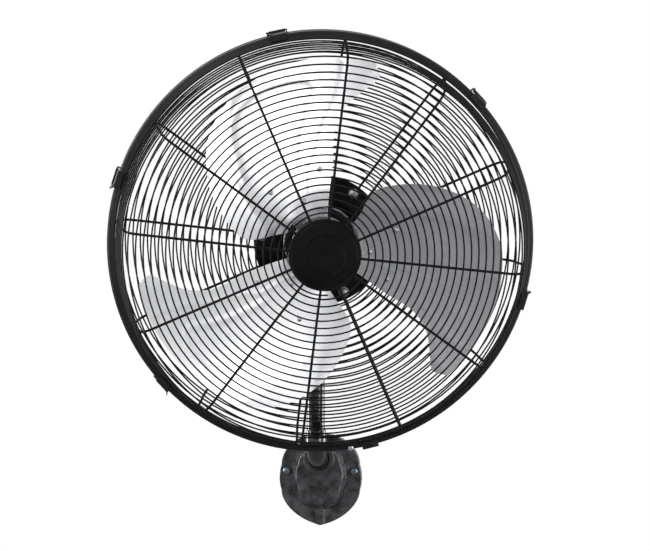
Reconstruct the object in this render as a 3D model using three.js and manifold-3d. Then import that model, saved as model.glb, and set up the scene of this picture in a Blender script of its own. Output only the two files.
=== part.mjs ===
// A wall mounted fan: a 500 mm wire guard head on a bent arm that rises from a cast wall plate.
// Millimetres, +Z up, the wall at y = 0 and the fan blowing towards -Y. The origin is where the arm's own
// line meets the wall, on the solid back of the socket boss.
import * as THREE from "three";
import { mergeVertices } from "three/addons/utils/BufferGeometryUtils.js";
import Module from "manifold-3d";

const wasm = await Module();
wasm.setup();

// ---- Driving dimensions ----------------------------------------------------------------------------

const GAP = 0.3; // the clearance between pieces that touch
const SLIVER = 0.02; // edges shorter than this are merged after a boolean
const rad = THREE.MathUtils.degToRad;

const REST_PAN = 9.2; // degrees, the head's turn about the post as it is left
const REST_TILT = 7.7; // degrees, the head's nod, front down
const ARM_REACH = 72; // wall to the post's own line
const PIVOT_HEIGHT = 231.2; // the tilt bolt above the arm's socket
const AXIS_ABOVE_PIVOT = 87; // the fan's axis above the tilt bolt
const RIM_AHEAD = 97; // the rim plane ahead of the tilt bolt

const PLATE = { halfWidth: 54.6, top: 33, shoulder: -11, flankEnd: -46, foot: -96, deep: 14, wall: 4 };
const BOSS = { halfWidth: 28.5, top: 14, foot: -64, front: 32, draft: 7.3 };
const SOCKET = { r: 20, collarR: 21.5, collarLong: 5, depthFrom: 5.2 };
const CHANNEL = { r: 8, wall: 2.6, from: -62 };
const PLATE_SCREW = { x: 46.8, z: -19, shankR: 2.3, headR: 5.4, headLong: 3.4, padR: 6.4 };

const TUBE_R = 14;
const TUBE_BEND = 34;
const TUBE_TOP = 45;
const POST_R = 12;
const POST_WALL = 2;
const POST_TOP = 195.7;

const NECK = { r: 19, from: 150, floor: 196, top: 205, cheekIn: 11.6, cheekOut: 17, eyeR: 14 };
const LUG = { half: 10, eyeR: 13.5 };
const TILT_BOLT_R = 4;
const PAN_SCREW = { z: 172, r: 3 };
const KNOB = { r: 14, lobes: 5, lobe: 2.6, thick: 13 };

const BAND = { outer: 282.5, inner: 271.5, front: 11.2, rear: -19, wall: 2.2, rearLip: 277 };
const HOOP = { r: 274, wire: 3, front: 5.5, rear: -4.5 };
const WIRE = { rib: 1.7, ring: 1.1, pitch: 9.52, sides: 18 };
const RIB_COUNT = 12;
const FRONT_PHASE = 6.3; // degrees clockwise from the top to the first front rib
const REAR_PHASE = 6.3;
const FACE_FROM = 85.2; // the front guard's ribs ahead of the rim, at the middle
const FACE_TO = 79; // and where they turn back to the rim
const REAR_FACE = -27.3; // the rear guard's ribs at the motor

const MEDAL = { r: 47.5, back: 87, front: 90.4, ringR: 26.7, chamfer: 4 };
const REAR_PLATE = { r: 88, hole: 50, front: -25, thick: 2.2 };
const MOTOR_BOLTS = { count: 3, r: 77, phase: 35, headR: 7, headLong: 5, shankR: 3 };

const MOTOR = { r: 70, wall: 3, noseR: 49, nose: -12, face: -27.5, split: -78, back: -122 };
const BEARING = { outer: 15, bore: 5.3, wide: 9, front: -17, rear: -103 };
const SHAFT = { r: 5, back: -110, front: 37 };
const STATOR = { outer: 66, bore: 36, from: -82, to: -46 };

const ROTOR_PLANE = 22; // the blades' middle plane ahead of the rim
const BLADE = { count: 3, phase: 338, thick: 1.6, rootPitch: 25, tipPitch: 16.5, camber: 0.05 };
const BLADE_ROOT = 50;
const BLADE_TIP_TRAIL = 234;
const BLADE_TIP_LEAD = 249;
const RIB_RISE = 2.6; // the pressed horseshoe rib on each blade
const SPIDER = { disc: 40, thick: 2.5, reach: 112, armFar: 24 };

const CLIP = { wide: 22, thick: 1.4, angles: [348, 47, 106, 228, 288], hingeR: 285.6, hingeD: -15 };
const SAFETY_CLIP_ANGLE = 166;
const KNOB_PAD = { below: 38, r: 17, out: 124 };

// ---- Materials -------------------------------------------------------------------------------------

const finish = (color, roughness, metalness) => () =>
  new THREE.MeshStandardMaterial({ color, roughness, metalness });
const castBlack = finish(0x1c1d20, 0.55, 0.3);
const tubeBlack = finish(0x121316, 0.25, 0.4);
const wireBlack = finish(0x101114, 0.4, 0.3);
const bandBlack = finish(0x1a1b1f, 0.35, 0.4);
const motorBlack = finish(0x16171a, 0.5, 0.3);
const capBlack = finish(0x141417, 0.35, 0.0);
const knobBlack = finish(0x18181a, 0.6, 0.0);
const aluminium = finish(0xc9ccd2, 0.32, 1.0);
const zinc = finish(0xb9bec4, 0.35, 1.0);
const steel = finish(0x8e9298, 0.3, 1.0);
const copper = finish(0xb06a3b, 0.4, 0.9);
const lamination = finish(0x5d6064, 0.5, 0.8);
const greyPlastic = finish(0x8a8d90, 0.6, 0.0);

// ---- Working with solids ---------------------------------------------------------------------------

function toSolid(geometry) {
  const plain = geometry.index ? geometry.toNonIndexed() : geometry;
  const bare = new THREE.BufferGeometry().setAttribute("position", plain.getAttribute("position"));
  const merged = mergeVertices(bare, 1e-3);
  return new wasm.Manifold(
    new wasm.Mesh({
      numProp: 3,
      vertProperties: merged.attributes.position.array,
      triVerts: new Uint32Array(merged.index.array),
    }),
  );
}

function toGeometry(solid) {
  const mesh = solid.simplify(SLIVER).getMesh();
  const geometry = new THREE.BufferGeometry();
  geometry.setAttribute("position", new THREE.BufferAttribute(new Float32Array(mesh.vertProperties), 3));
  geometry.setIndex(new THREE.BufferAttribute(new Uint32Array(mesh.triVerts), 1));
  geometry.computeVertexNormals();
  return geometry;
}

const join = (...pieces) => toGeometry(pieces.map(toSolid).reduce((a, b) => a.add(b)));
const cut = (body, ...tools) => toGeometry(tools.map(toSolid).reduce((a, b) => a.subtract(b), toSolid(body)));

// A solid of revolution about +Y from an outline of [radius, height] pairs, walked either way round.
function turned(outline, segments) {
  const points = outline.map(([r, h]) => new THREE.Vector2(r, h));
  if (THREE.ShapeUtils.area(points) < 0) points.reverse();
  const onAxis = points[0].x === 0 && points.at(-1).x === 0;
  if (!onAxis) {
    const start = points.findIndex((p) => p.x === 0);
    if (start > 0) points.push(...points.splice(0, start));
    else points.push(points[0].clone());
  }
  return new THREE.LatheGeometry(points, segments);
}

// The same, with height counted forwards along the fan's axis.
const axial = (outline, segments) => turned(outline, segments).rotateX(Math.PI);

// The same, standing up along +Z.
const upright = (outline, segments) => turned(outline, segments).rotateX(Math.PI / 2);

// The same, lying along +X.
const sideways = (outline, segments) => turned(outline, segments).rotateZ(-Math.PI / 2);

// An outline in the wall's plane, grown towards the viewer from `y`.
function fromWall(shape, depth, y, options = {}) {
  const settings = { depth, bevelEnabled: false, curveSegments: 8, ...options };
  return new THREE.ExtrudeGeometry(shape, settings).rotateX(Math.PI / 2).translate(0, y, 0);
}

const rod = (r, low, high) => [
  [0, low],
  [r, low],
  [r, high],
  [0, high],
];

const tubeOutline = (inner, outer, low, high) => [
  [inner, low],
  [outer, low],
  [outer, high],
  [inner, high],
];

// A closed skin over rings that all hold the same number of points, with flat fans on both ends.
function loft(rings) {
  const around = rings[0].length;
  const points = rings.flat();
  const faces = [];
  for (let i = 0; i + 1 < rings.length; i += 1) {
    for (let j = 0; j < around; j += 1) {
      const a = i * around + j;
      const b = i * around + ((j + 1) % around);
      faces.push(a, b, b + around, a, b + around, a + around);
    }
  }
  const last = (rings.length - 1) * around;
  for (let j = 1; j + 1 < around; j += 1) {
    faces.push(0, j + 1, j);
    faces.push(last, last + j, last + j + 1);
  }
  return closedSkin(points, faces);
}

// Turns a list of points and faces into a geometry whose faces look outwards.
function closedSkin(points, faces) {
  let volume = 0;
  const cross = new THREE.Vector3();
  for (let i = 0; i < faces.length; i += 3) {
    const [a, b, c] = [points[faces[i]], points[faces[i + 1]], points[faces[i + 2]]];
    volume += a.dot(cross.crossVectors(b, c));
  }
  if (volume < 0) faces.reverse();
  const geometry = new THREE.BufferGeometry().setFromPoints(points);
  geometry.setIndex(faces);
  geometry.computeVertexNormals();
  return geometry;
}

function piece(name, geometry, material) {
  const mesh = new THREE.Mesh(geometry, material());
  mesh.name = name;
  return mesh;
}

// A star knob with its screw hole, turned about +Y and opening downwards.
function starKnob(holeR, holeDeep) {
  const outline = new THREE.Shape();
  const steps = KNOB.lobes * 4;
  for (let i = 0; i < steps; i += 1) {
    const angle = (2 * Math.PI * i) / steps;
    const r = KNOB.r - KNOB.lobe + KNOB.lobe * Math.cos(KNOB.lobes * angle);
    outline[i ? "lineTo" : "moveTo"](r * Math.cos(angle), r * Math.sin(angle));
  }
  const body = new THREE.ExtrudeGeometry(outline, {
    depth: KNOB.thick - 6,
    bevelThickness: 1.5,
    bevelSize: 1.5,
    bevelOffset: -1.5,
    bevelSegments: 1,
  })
    .rotateX(-Math.PI / 2)
    .translate(0, 5, 0);
  const hub = turned(rod(8, 0, 6), 10);
  return cut(join(body, hub), turned(rod(holeR, -1, holeDeep), 10));
}

// ---- Wall plate and arm ----------------------------------------------------------------------------

// The plate's tombstone outline with a softly pointed foot, drawn `inset` inside its edge.
function plateOutline(inset) {
  const half = PLATE.halfWidth - inset;
  const top = PLATE.top - inset;
  const foot = PLATE.foot + inset;
  const shape = new THREE.Shape();
  shape.moveTo(half, PLATE.flankEnd);
  shape.lineTo(half, PLATE.shoulder);
  shape.absellipse(0, PLATE.shoulder, half, top - PLATE.shoulder, 0, Math.PI, false);
  shape.lineTo(-half, PLATE.flankEnd);
  shape.bezierCurveTo(-half, PLATE.flankEnd - 22, -half * 0.48, foot + 4, 0, foot);
  shape.bezierCurveTo(half * 0.48, foot + 4, half, PLATE.flankEnd - 22, half, PLATE.flankEnd);
  return shape;
}

function bossOutline(grow) {
  const half = BOSS.halfWidth + grow;
  const shape = new THREE.Shape();
  shape.moveTo(half, BOSS.foot + 26);
  shape.lineTo(half, -8);
  shape.absellipse(0, -8, half, BOSS.top + 8 + grow, 0, Math.PI, false);
  shape.lineTo(-half, BOSS.foot + 26);
  shape.quadraticCurveTo(-half, BOSS.foot - grow, 0, BOSS.foot - grow);
  shape.quadraticCurveTo(half, BOSS.foot - grow, half, BOSS.foot + 26);
  return shape;
}

function wallPlate() {
  const skirt = fromWall(plateOutline(1.5), PLATE.deep - 3, 0, {
    bevelEnabled: true,
    bevelThickness: 1.5,
    bevelSize: 1.5,
    bevelSegments: 1,
    curveSegments: 4,
  }).translate(0, -1.5, 0);
  const rise = BOSS.front - PLATE.deep + 3;
  const crown = fromWall(bossOutline(0), 1, 0, {
    bevelEnabled: true,
    bevelThickness: rise,
    bevelSize: BOSS.draft,
    bevelSegments: 2,
    curveSegments: 4,
  }).translate(0, rise + 1 - BOSS.front, 0);
  const behind = new THREE.BoxGeometry(200, 60, 200).translate(0, 30, 0);
  const hollow = fromWall(plateOutline(PLATE.wall + 1), PLATE.deep - PLATE.wall + 1, 1, { curveSegments: 4 });
  const crownHollow = fromWall(bossOutline(-4), BOSS.front - 2 * PLATE.wall + 1, 1, { curveSegments: 3 });
  const socket = turned(rod(SOCKET.r, 0, BOSS.front - 1), 16).rotateX(Math.PI);
  const collarTop = BOSS.front + SOCKET.collarLong;
  const collar = turned(
    [
      [0, BOSS.front - 6],
      [SOCKET.collarR, BOSS.front - 6],
      [SOCKET.collarR, collarTop - 1.2],
      [SOCKET.collarR - 1.2, collarTop],
      [0, collarTop],
    ],
    18,
  ).rotateX(Math.PI);
  const bore = turned(rod(TUBE_R + GAP, SOCKET.depthFrom, collarTop + 2), 16).rotateX(Math.PI);
  const humpR = CHANNEL.r + CHANNEL.wall;
  const hump = upright(rod(humpR, PLATE.foot + 1.5, CHANNEL.from), 10).translate(0, -PLATE.wall - 2, 0);
  const groove = upright(rod(CHANNEL.r, PLATE.foot - 5, CHANNEL.from - 3), 10).translate(0, -PLATE.wall - 2, 0);
  const grooveMouth = new THREE.BoxGeometry(2 * CHANNEL.r, 8, 40).translate(0, 0, PLATE.foot + 11);
  const pads = [-1, 1].map((side) =>
    turned(rod(PLATE_SCREW.padR, 0, PLATE.deep - 1), 8)
      .rotateX(Math.PI)
      .translate(side * PLATE_SCREW.x, 0, PLATE_SCREW.z),
  );
  const holes = [-1, 1].map((side) =>
    turned(rod(PLATE_SCREW.shankR + GAP, -1, PLATE.deep + 5), 8)
      .rotateX(Math.PI)
      .translate(side * PLATE_SCREW.x, 0, PLATE_SCREW.z),
  );
  const shell = cut(join(skirt, cut(crown, behind)), hollow, crownHollow);
  const full = join(shell, socket, collar, cut(hump, behind), ...pads);
  return cut(full, bore, groove, grooveMouth, ...holes);
}

function plateScrew(side) {
  const outline = [
    [0, 0.6],
    [PLATE_SCREW.shankR, 0.6],
    [PLATE_SCREW.shankR, PLATE.deep + GAP],
    [PLATE_SCREW.headR, PLATE.deep + GAP],
    [PLATE_SCREW.headR, PLATE.deep + PLATE_SCREW.headLong - 1],
    [PLATE_SCREW.headR - 1.6, PLATE.deep + PLATE_SCREW.headLong],
    [0, PLATE.deep + PLATE_SCREW.headLong],
  ];
  return axial(outline, 10).translate(side * PLATE_SCREW.x, 0, PLATE_SCREW.z);
}

// A round bar along the arm's own line: out of the socket, round the bend and up to `top`.
function alongArm(r, sides, from, top, bendSteps) {
  const section = (y, z, lean) =>
    Array.from({ length: sides }, (_, i) => {
      const turn = (2 * Math.PI * i) / sides;
      const off = r * Math.sin(turn);
      return new THREE.Vector3(r * Math.cos(turn), y + off * Math.sin(lean), z + off * Math.cos(lean));
    });
  const rings = [section(-from, 0, 0)];
  for (let i = 0; i <= bendSteps; i += 1) {
    const lean = ((Math.PI / 2) * i) / bendSteps;
    const y = TUBE_BEND - ARM_REACH - TUBE_BEND * Math.sin(lean);
    rings.push(section(y, TUBE_BEND - TUBE_BEND * Math.cos(lean), lean));
  }
  rings.push(section(-ARM_REACH, top, Math.PI / 2));
  return loft(rings);
}

function armElbow() {
  const outer = alongArm(TUBE_R, 16, SOCKET.depthFrom + GAP, TUBE_TOP, 6);
  const bore = alongArm(POST_R + GAP, 16, SOCKET.depthFrom - 2, TUBE_TOP + 3, 3);
  return cut(outer, bore);
}

function armPost() {
  return upright(tubeOutline(POST_R - POST_WALL, POST_R, TUBE_BEND + 1, POST_TOP), 16).translate(0, -ARM_REACH, 0);
}

// ---- Swivel neck, tilt joint and knobs -------------------------------------------------------------

function neckCheek(side) {
  const shape = new THREE.Shape();
  const eye = PIVOT_HEIGHT;
  shape.moveTo(-NECK.r + 5, NECK.floor + 2);
  shape.lineTo(NECK.r - 5, NECK.floor + 2);
  shape.lineTo(NECK.eyeR, eye - 4);
  shape.absarc(0, eye, NECK.eyeR, 0, Math.PI, false);
  const thick = NECK.cheekOut - NECK.cheekIn;
  const plate = new THREE.ExtrudeGeometry(shape, { depth: thick, bevelEnabled: false, curveSegments: 5 });
  plate.rotateX(Math.PI / 2).rotateZ(Math.PI / 2);
  return plate.translate(side > 0 ? NECK.cheekIn : -NECK.cheekOut, -ARM_REACH, 0);
}

function swivelNeck() {
  const sleeve = upright(
    [
      [0, NECK.from],
      [NECK.r - 1.5, NECK.from],
      [NECK.r, NECK.from + 3],
      [NECK.r, NECK.top],
      [0, NECK.top],
    ],
    18,
  ).translate(0, -ARM_REACH, 0);
  const bore = upright(rod(POST_R + GAP, NECK.from - 2, NECK.floor), 16).translate(0, -ARM_REACH, 0);
  const screwBoss = turned(rod(7.5, 13.5, NECK.r + 5), 10).translate(0, -ARM_REACH, PAN_SCREW.z);
  const screwHole = turned(rod(PAN_SCREW.r + GAP, 5, NECK.r + 8), 10).translate(0, -ARM_REACH, PAN_SCREW.z);
  const boltHole = sideways(rod(TILT_BOLT_R + GAP, -30, 30), 12).translate(0, -ARM_REACH, PIVOT_HEIGHT);
  const solid = join(sleeve, neckCheek(-1), neckCheek(1), screwBoss);
  return cut(solid, bore, screwHole, boltHole);
}

function tiltBolt() {
  const shank = sideways(rod(TILT_BOLT_R, -NECK.cheekOut - 3, NECK.cheekOut + 10), 12);
  const head = new THREE.CylinderGeometry(7.5, 7.5, 5.5, 6).rotateZ(Math.PI / 2);
  head.translate(-NECK.cheekOut - GAP - 2.75, 0, 0);
  return join(shank, head).translate(0, -ARM_REACH, PIVOT_HEIGHT);
}

function tiltWasher(side) {
  const inner = LUG.half + GAP;
  const outline = tubeOutline(TILT_BOLT_R + GAP, 9.5, inner, NECK.cheekIn - GAP);
  const washer = sideways(outline, 10);
  if (side < 0) washer.rotateY(Math.PI);
  return washer.translate(0, -ARM_REACH, PIVOT_HEIGHT);
}

function tiltKnob() {
  const knob = starKnob(TILT_BOLT_R + GAP, 11).rotateZ(-Math.PI / 2);
  return knob.translate(NECK.cheekOut + GAP, -ARM_REACH, PIVOT_HEIGHT);
}

function panKnob() {
  return starKnob(PAN_SCREW.r + GAP, 9).translate(0, -ARM_REACH + NECK.r + 5 + GAP, PAN_SCREW.z);
}

function panScrew() {
  return turned(rod(PAN_SCREW.r, POST_R + GAP, NECK.r + 5 + 8), 10).translate(0, -ARM_REACH, PAN_SCREW.z);
}

// ---- Wire guards -----------------------------------------------------------------------------------
// A guard's ribs follow a profile of (radius, distance ahead of the rim). A wire is laid on the profile with
// a `lift` off it along the outward normal, at an angle clockwise from the top as seen from the front.

function frontProfile() {
  const path = new THREE.Path();
  path.moveTo(40, FACE_FROM);
  path.lineTo(246, FACE_TO);
  path.bezierCurveTo(256, FACE_TO - 0.4, 262, FACE_TO - 6, 263.5, FACE_TO - 19);
  path.lineTo(HOOP.r - 5.6, HOOP.front + 2.9);
  path.lineTo(HOOP.r - 1.2, HOOP.front);
  return path;
}

function rearProfile() {
  const path = new THREE.Path();
  path.moveTo(REAR_PLATE.r - 1.2, REAR_FACE);
  path.lineTo(240, REAR_FACE - 1.7);
  path.bezierCurveTo(254, REAR_FACE - 1.7, 262, REAR_FACE + 2.3, 265, REAR_FACE + 12.3);
  path.lineTo(HOOP.r - 1.2, HOOP.rear);
  return path;
}

// Where each curve of a profile ends, as fractions of the whole length, with the bend cut in half.
function profileStations(profile) {
  const total = profile.getLength();
  const [flat, bend, ...rest] = profile.getCurveLengths().map((end) => end / total);
  return [0, flat, (flat + bend) / 2, bend, ...rest.slice(0, -1), 1];
}

const clockwise = (angle, r, ahead) => new THREE.Vector3(r * Math.sin(angle), -ahead, r * Math.cos(angle));

// The wire's section about a spot on the profile: `sides` corners with a flat towards the profile.
function wireRing(profile, along, angle, lift, r, sides, tangent) {
  const spot = profile.getPointAt(along);
  const dir = profile.getTangentAt(along);
  const out = clockwise(angle, -dir.y, dir.x);
  const centre = clockwise(angle, spot.x, spot.y).addScaledVector(out, lift);
  const across = tangent === "rib" ? clockwise(angle + Math.PI / 2, 1, 0) : clockwise(angle, dir.x, dir.y);
  const reach = r * Math.sqrt((2 * Math.PI) / (sides * Math.sin((2 * Math.PI) / sides)));
  return Array.from({ length: sides }, (_, i) => {
    const turn = (2 * Math.PI * i) / sides + (sides === 3 ? Math.sign(lift) * (Math.PI / 2) : Math.PI / 4);
    return centre
      .clone()
      .addScaledVector(across, reach * Math.cos(turn))
      .addScaledVector(out, reach * Math.sin(turn));
  });
}

// One wire wound clockwise and outwards over a profile, a pitch to each turn after a `close` first one. Its
// sides lengthen with the radius, so every one leaves the true curve by the same small amount. Past the
// profile's flat part the corners fall on the ribs, where the wire has to clear them.
function spiralWire(profile, { from, turns, close, lift, start, phase }) {
  const length = profile.getLength();
  const flat = profile.getCurveLengths()[0];
  const lag = (start - phase) / 360;
  const rings = [];
  let turn = 0;
  while (turn <= turns) {
    const along = from + close * Math.min(turn, 1) + WIRE.pitch * Math.max(turn - 1, 0);
    const angle = rad(start + 360 * turn);
    rings.push(wireRing(profile, along / length, angle, lift, WIRE.ring, 3, "ring"));
    const r = profile.getPointAt(along / length).x;
    const onRibs = 2 * RIB_COUNT;
    if (along < flat) turn += 1 / (WIRE.sides * Math.sqrt(r / profile.getPointAt(1).x));
    else turn = Math.floor((turn + lag) * onRibs + 1.001) / onRibs - lag;
  }
  return loft(rings);
}

function ribWire(profile, angle, stations) {
  return loft(stations.map((along) => wireRing(profile, along, angle, 0, WIRE.rib, 4, "rib")));
}

// A hoop with a corner of its outline on every rib.
function hoopWire(r, ahead, wire, phase) {
  const hoop = new THREE.TorusGeometry(r, wire, 4, 3 * RIB_COUNT).rotateX(Math.PI / 2);
  return hoop.translate(0, -ahead, 0).rotateY(rad(phase));
}

function ribAngles(phase) {
  return Array.from({ length: RIB_COUNT }, (_, i) => rad(phase + (360 / RIB_COUNT) * i));
}

function frontGuardFrame() {
  const profile = frontProfile();
  const stations = profileStations(profile);
  const ribs = ribAngles(FRONT_PHASE).map((angle) => ribWire(profile, angle, stations));
  const plate = axial(rod(45, FACE_FROM - WIRE.rib - 2, FACE_FROM - WIRE.rib + 0.5), 20);
  return join(plate, hoopWire(HOOP.r, HOOP.front, HOOP.wire, FRONT_PHASE), ...ribs);
}

const RING_LIFT = WIRE.rib * 0.886 + WIRE.ring * 0.78 + GAP; // a ring wire that rests on the ribs

function frontGuardSpiral() {
  const wound = { from: 12.7, turns: 26.9, close: 5.4, lift: RING_LIFT, start: 176, phase: FRONT_PHASE };
  return spiralWire(frontProfile(), wound);
}

function rearGuardFrame() {
  const profile = rearProfile();
  const stations = profileStations(profile);
  const ribs = ribAngles(REAR_PHASE).map((angle) => ribWire(profile, angle, stations));
  const { r, hole, front, thick } = REAR_PLATE;
  const plate = axial(tubeOutline(hole, r, front - thick, front), 24);
  const holes = motorBoltPlaces().map(([x, z]) =>
    axial(rod(MOTOR_BOLTS.shankR + GAP, front - 6, front + 2), 8).translate(x, 0, z),
  );
  return cut(join(plate, hoopWire(HOOP.r, HOOP.rear, HOOP.wire, REAR_PHASE), ...ribs), ...holes);
}

function rearGuardSpiral() {
  const wound = { from: 7, turns: 16.3, close: 7, lift: -RING_LIFT, start: 95, phase: REAR_PHASE };
  return spiralWire(rearProfile(), wound);
}

function medallion() {
  const { r, back, front, ringR, chamfer } = MEDAL;
  const outline = [
    [0, front - 0.9],
    [ringR - 1, front - 0.9],
    [ringR, front],
    [r - chamfer, front],
    [r, front - 2.4],
    [r, back],
    [r - 2, back],
    [r - 2, front - 3.2],
    [4, front - 3.2],
    [4, FACE_FROM - WIRE.rib + 0.8],
    [0, FACE_FROM - WIRE.rib + 0.8],
  ];
  return axial(outline, 22);
}

// The rim band: a rolled channel with two beads pressed into its front lip, and the eyes of the clips.
function rimBand() {
  const { outer, inner, front, rear, wall, rearLip } = BAND;
  const outline = [
    [inner, front - 2.4],
    [inner + 2.5, front],
    [inner + 4.8, front - 1.3],
    [inner + 7.3, front],
    [outer, front - 4.2],
    [outer, rear],
    [rearLip, rear],
    [rearLip, rear + wall],
    [outer - wall, rear + wall],
    [outer - wall, front - 2.4],
  ];
  const ears = CLIP.angles.flatMap((angle) => [-1, 1].map((side) => clipEar(angle, side)));
  return join(axial(outline, 42), ...ears);
}

// A lug that holds one end of a clip's knuckle, on the band's outer wall.
function clipEar(angle, side) {
  const x = side * (CLIP.wide / 2 + GAP + 1.5);
  const ear = new THREE.BoxGeometry(3, 6, 7);
  return atRim(ear.translate(x, -CLIP.hingeD, BAND.outer + 2), angle);
}

// Carries a shape made at the top of the rim round to its clock angle.
const atRim = (geometry, angle) => geometry.rotateY(rad(angle));

function profileOfClip(points) {
  const shape = new THREE.Shape();
  points.forEach(([r, d], i) => shape[i ? "lineTo" : "moveTo"](-d, r));
  const wide = CLIP.wide;
  const body = new THREE.ExtrudeGeometry(shape, { depth: wide, bevelEnabled: false });
  return body.rotateX(Math.PI / 2).rotateZ(Math.PI / 2).translate(-wide / 2, 0, 0);
}

// A lever clip: a strap over the band with a hooked nose in front, a knuckle at the back and a finger tail.
function guardClip(angle) {
  const low = BAND.outer + 0.5;
  const high = low + CLIP.thick;
  const front = BAND.front + 0.4;
  const strap = profileOfClip([
    [BAND.inner + 4, front],
    [low, front],
    [low, CLIP.hingeD],
    [high + 1.6, CLIP.hingeD],
    [high, CLIP.hingeD + 5],
    [high, front + CLIP.thick - 0.6],
    [high - 1, front + CLIP.thick],
    [BAND.inner + 4, front + CLIP.thick],
  ]);
  const knuckle = sideways(rod(2.3, -CLIP.wide / 2, CLIP.wide / 2), 8).translate(0, -CLIP.hingeD, CLIP.hingeR);
  const tail = new THREE.Shape();
  tail.moveTo(CLIP.wide / 2 - 3, low);
  tail.lineTo(CLIP.wide / 2 - 3, high);
  tail.lineTo(CLIP.wide / 2 + 3, low + 6.5);
  tail.lineTo(CLIP.wide / 2 + 4.2, low + 5.6);
  const finger = new THREE.ExtrudeGeometry(tail, { depth: 9, bevelEnabled: false });
  finger.rotateX(Math.PI / 2).translate(0, 2, 0);
  return atRim(join(strap, knuckle, finger), angle);
}

function safetyClip() {
  const low = BAND.outer + 0.5;
  const high = low + CLIP.thick;
  const front = BAND.front + 0.4;
  const back = BAND.rear - 0.4;
  const strap = profileOfClip([
    [BAND.inner + 2, front],
    [low, front],
    [low, back],
    [BAND.rearLip + 1, back],
    [BAND.rearLip + 1, back - CLIP.thick],
    [high, back - CLIP.thick],
    [high, front + CLIP.thick],
    [BAND.inner + 2, front + CLIP.thick],
  ]);
  const hole = axial(rod(1.8, front - 4, front + 6), 8).translate(0, 0, BAND.inner + 6.5);
  return atRim(cut(strap, hole), SAFETY_CLIP_ANGLE);
}

function clipScrew() {
  const under = BAND.front + 0.4;
  const face = under + CLIP.thick + GAP;
  const outline = [
    [0, under],
    [1.5, under],
    [1.5, face],
    [4, face],
    [3.6, face + 1.8],
    [2, face + 2.6],
    [0, face + 2.6],
  ];
  return atRim(axial(outline, 12).translate(0, 0, BAND.inner + 6.5), SAFETY_CLIP_ANGLE);
}

// ---- Motor -----------------------------------------------------------------------------------------

function motorBoltPlaces() {
  return Array.from({ length: MOTOR_BOLTS.count }, (_, i) => {
    const angle = rad(MOTOR_BOLTS.phase + (360 / MOTOR_BOLTS.count) * i);
    return [MOTOR_BOLTS.r * Math.sin(angle), MOTOR_BOLTS.r * Math.cos(angle)];
  });
}

function motorBell() {
  const { r, wall, noseR, nose, face, split } = MOTOR;
  const seat = BEARING.outer + GAP;
  const outline = [
    [6.5, nose],
    [noseR - 3, nose],
    [noseR, nose - 4],
    [noseR, face],
    [r - 3, face],
    [r, face - 5],
    [r, split + GAP],
    [r - wall, split + GAP],
    [r - wall, face - wall],
    [noseR - wall, face - wall],
    [noseR - wall, nose - 4.5],
    [seat + 3, nose - 3.5],
    [seat + 3, BEARING.front - BEARING.wide],
    [seat, BEARING.front - BEARING.wide],
    [seat, BEARING.front + GAP],
    [6.5, BEARING.front + GAP],
  ];
  const earOf = ([x, z]) => axial(rod(9.5, face - 6, face), 8).translate(x, 0, z);
  const holeOf = ([x, z]) => axial(rod(MOTOR_BOLTS.shankR + GAP, face - 8, face + 2), 8).translate(x, 0, z);
  const places = motorBoltPlaces();
  return cut(join(axial(outline, 18), ...places.map(earOf)), ...places.map(holeOf));
}

function motorBolt([x, z]) {
  const face = REAR_PLATE.front + GAP;
  const shank = axial(rod(MOTOR_BOLTS.shankR, MOTOR.face - 5, face + 1), 8);
  const head = new THREE.CylinderGeometry(MOTOR_BOLTS.headR, MOTOR_BOLTS.headR, MOTOR_BOLTS.headLong, 6);
  head.translate(0, -(face + MOTOR_BOLTS.headLong / 2), 0);
  return join(shank, head).translate(x, 0, z);
}

function motorRearCover() {
  const { r, wall, split, back } = MOTOR;
  const seat = BEARING.outer + GAP;
  const outline = [
    ...coverOutside(0),
    [r - wall, split],
    [r - wall, back + 26],
    [55, back + 9],
    [seat + 3, back + 3.3],
    [seat + 3, BEARING.rear],
    [seat, BEARING.rear],
    [seat, BEARING.rear - BEARING.wide - GAP],
    [0, BEARING.rear - BEARING.wide - 3],
  ];
  const pad = axial(rod(KNOB_PAD.r, -KNOB_PAD.out, back + 3.6), 14).translate(0, 0, -KNOB_PAD.below);
  const spindleHole = axial(rod(3 + GAP, -KNOB_PAD.out - 2, back + 12), 8).translate(0, 0, -KNOB_PAD.below);
  return cut(join(axial(outline, 18), pad), spindleHole, glandHole());
}

// The rear cover's outside, `grow` larger all round.
function coverOutside(grow) {
  const { r, split, back } = MOTOR;
  return [
    [0, back - grow],
    [40 + grow, back + 1 - grow],
    [57 + grow, back + 6 - grow],
    [67 + grow, back + 16 - grow],
    [r + grow, back + 26],
    [r + grow, split],
  ];
}

// The casting under the rear cover whose eye hangs on the tilt bolt. Its top is seated on the cover.
function tiltLug() {
  const drop = AXIS_ABOVE_PIVOT;
  const shape = new THREE.Shape();
  shape.moveTo(LUG.eyeR, -drop + 2);
  shape.lineTo(LUG.eyeR + 5, -MOTOR.r + 3);
  shape.lineTo(-LUG.eyeR + 1, -MOTOR.r + 10);
  shape.lineTo(-LUG.eyeR, -drop + 2);
  shape.absarc(0, -drop, LUG.eyeR, Math.PI, 2 * Math.PI, false);
  const plate = new THREE.ExtrudeGeometry(shape, { depth: 2 * LUG.half, bevelEnabled: false, curveSegments: 7 });
  plate.rotateX(Math.PI / 2).rotateZ(-Math.PI / 2).translate(LUG.half, RIM_AHEAD, 0);
  const cover = axial([...coverOutside(GAP), [0, MOTOR.split]], 18);
  return cut(plate, cover, lugBore());
}

function lugBore() {
  return sideways(rod(TILT_BOLT_R + GAP, -20, 20), 12).translate(0, RIM_AHEAD, -AXIS_ABOVE_PIVOT);
}

// The cable inlet sits on the cover's shoulder, up to the right as seen from the front.
const atInlet = (geometry) => geometry.rotateY(rad(-40)).translate(0, -MOTOR.split + 11, 0);
const glandHole = () => atInlet(sideways(rod(6.3, 50, 80), 10));

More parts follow.
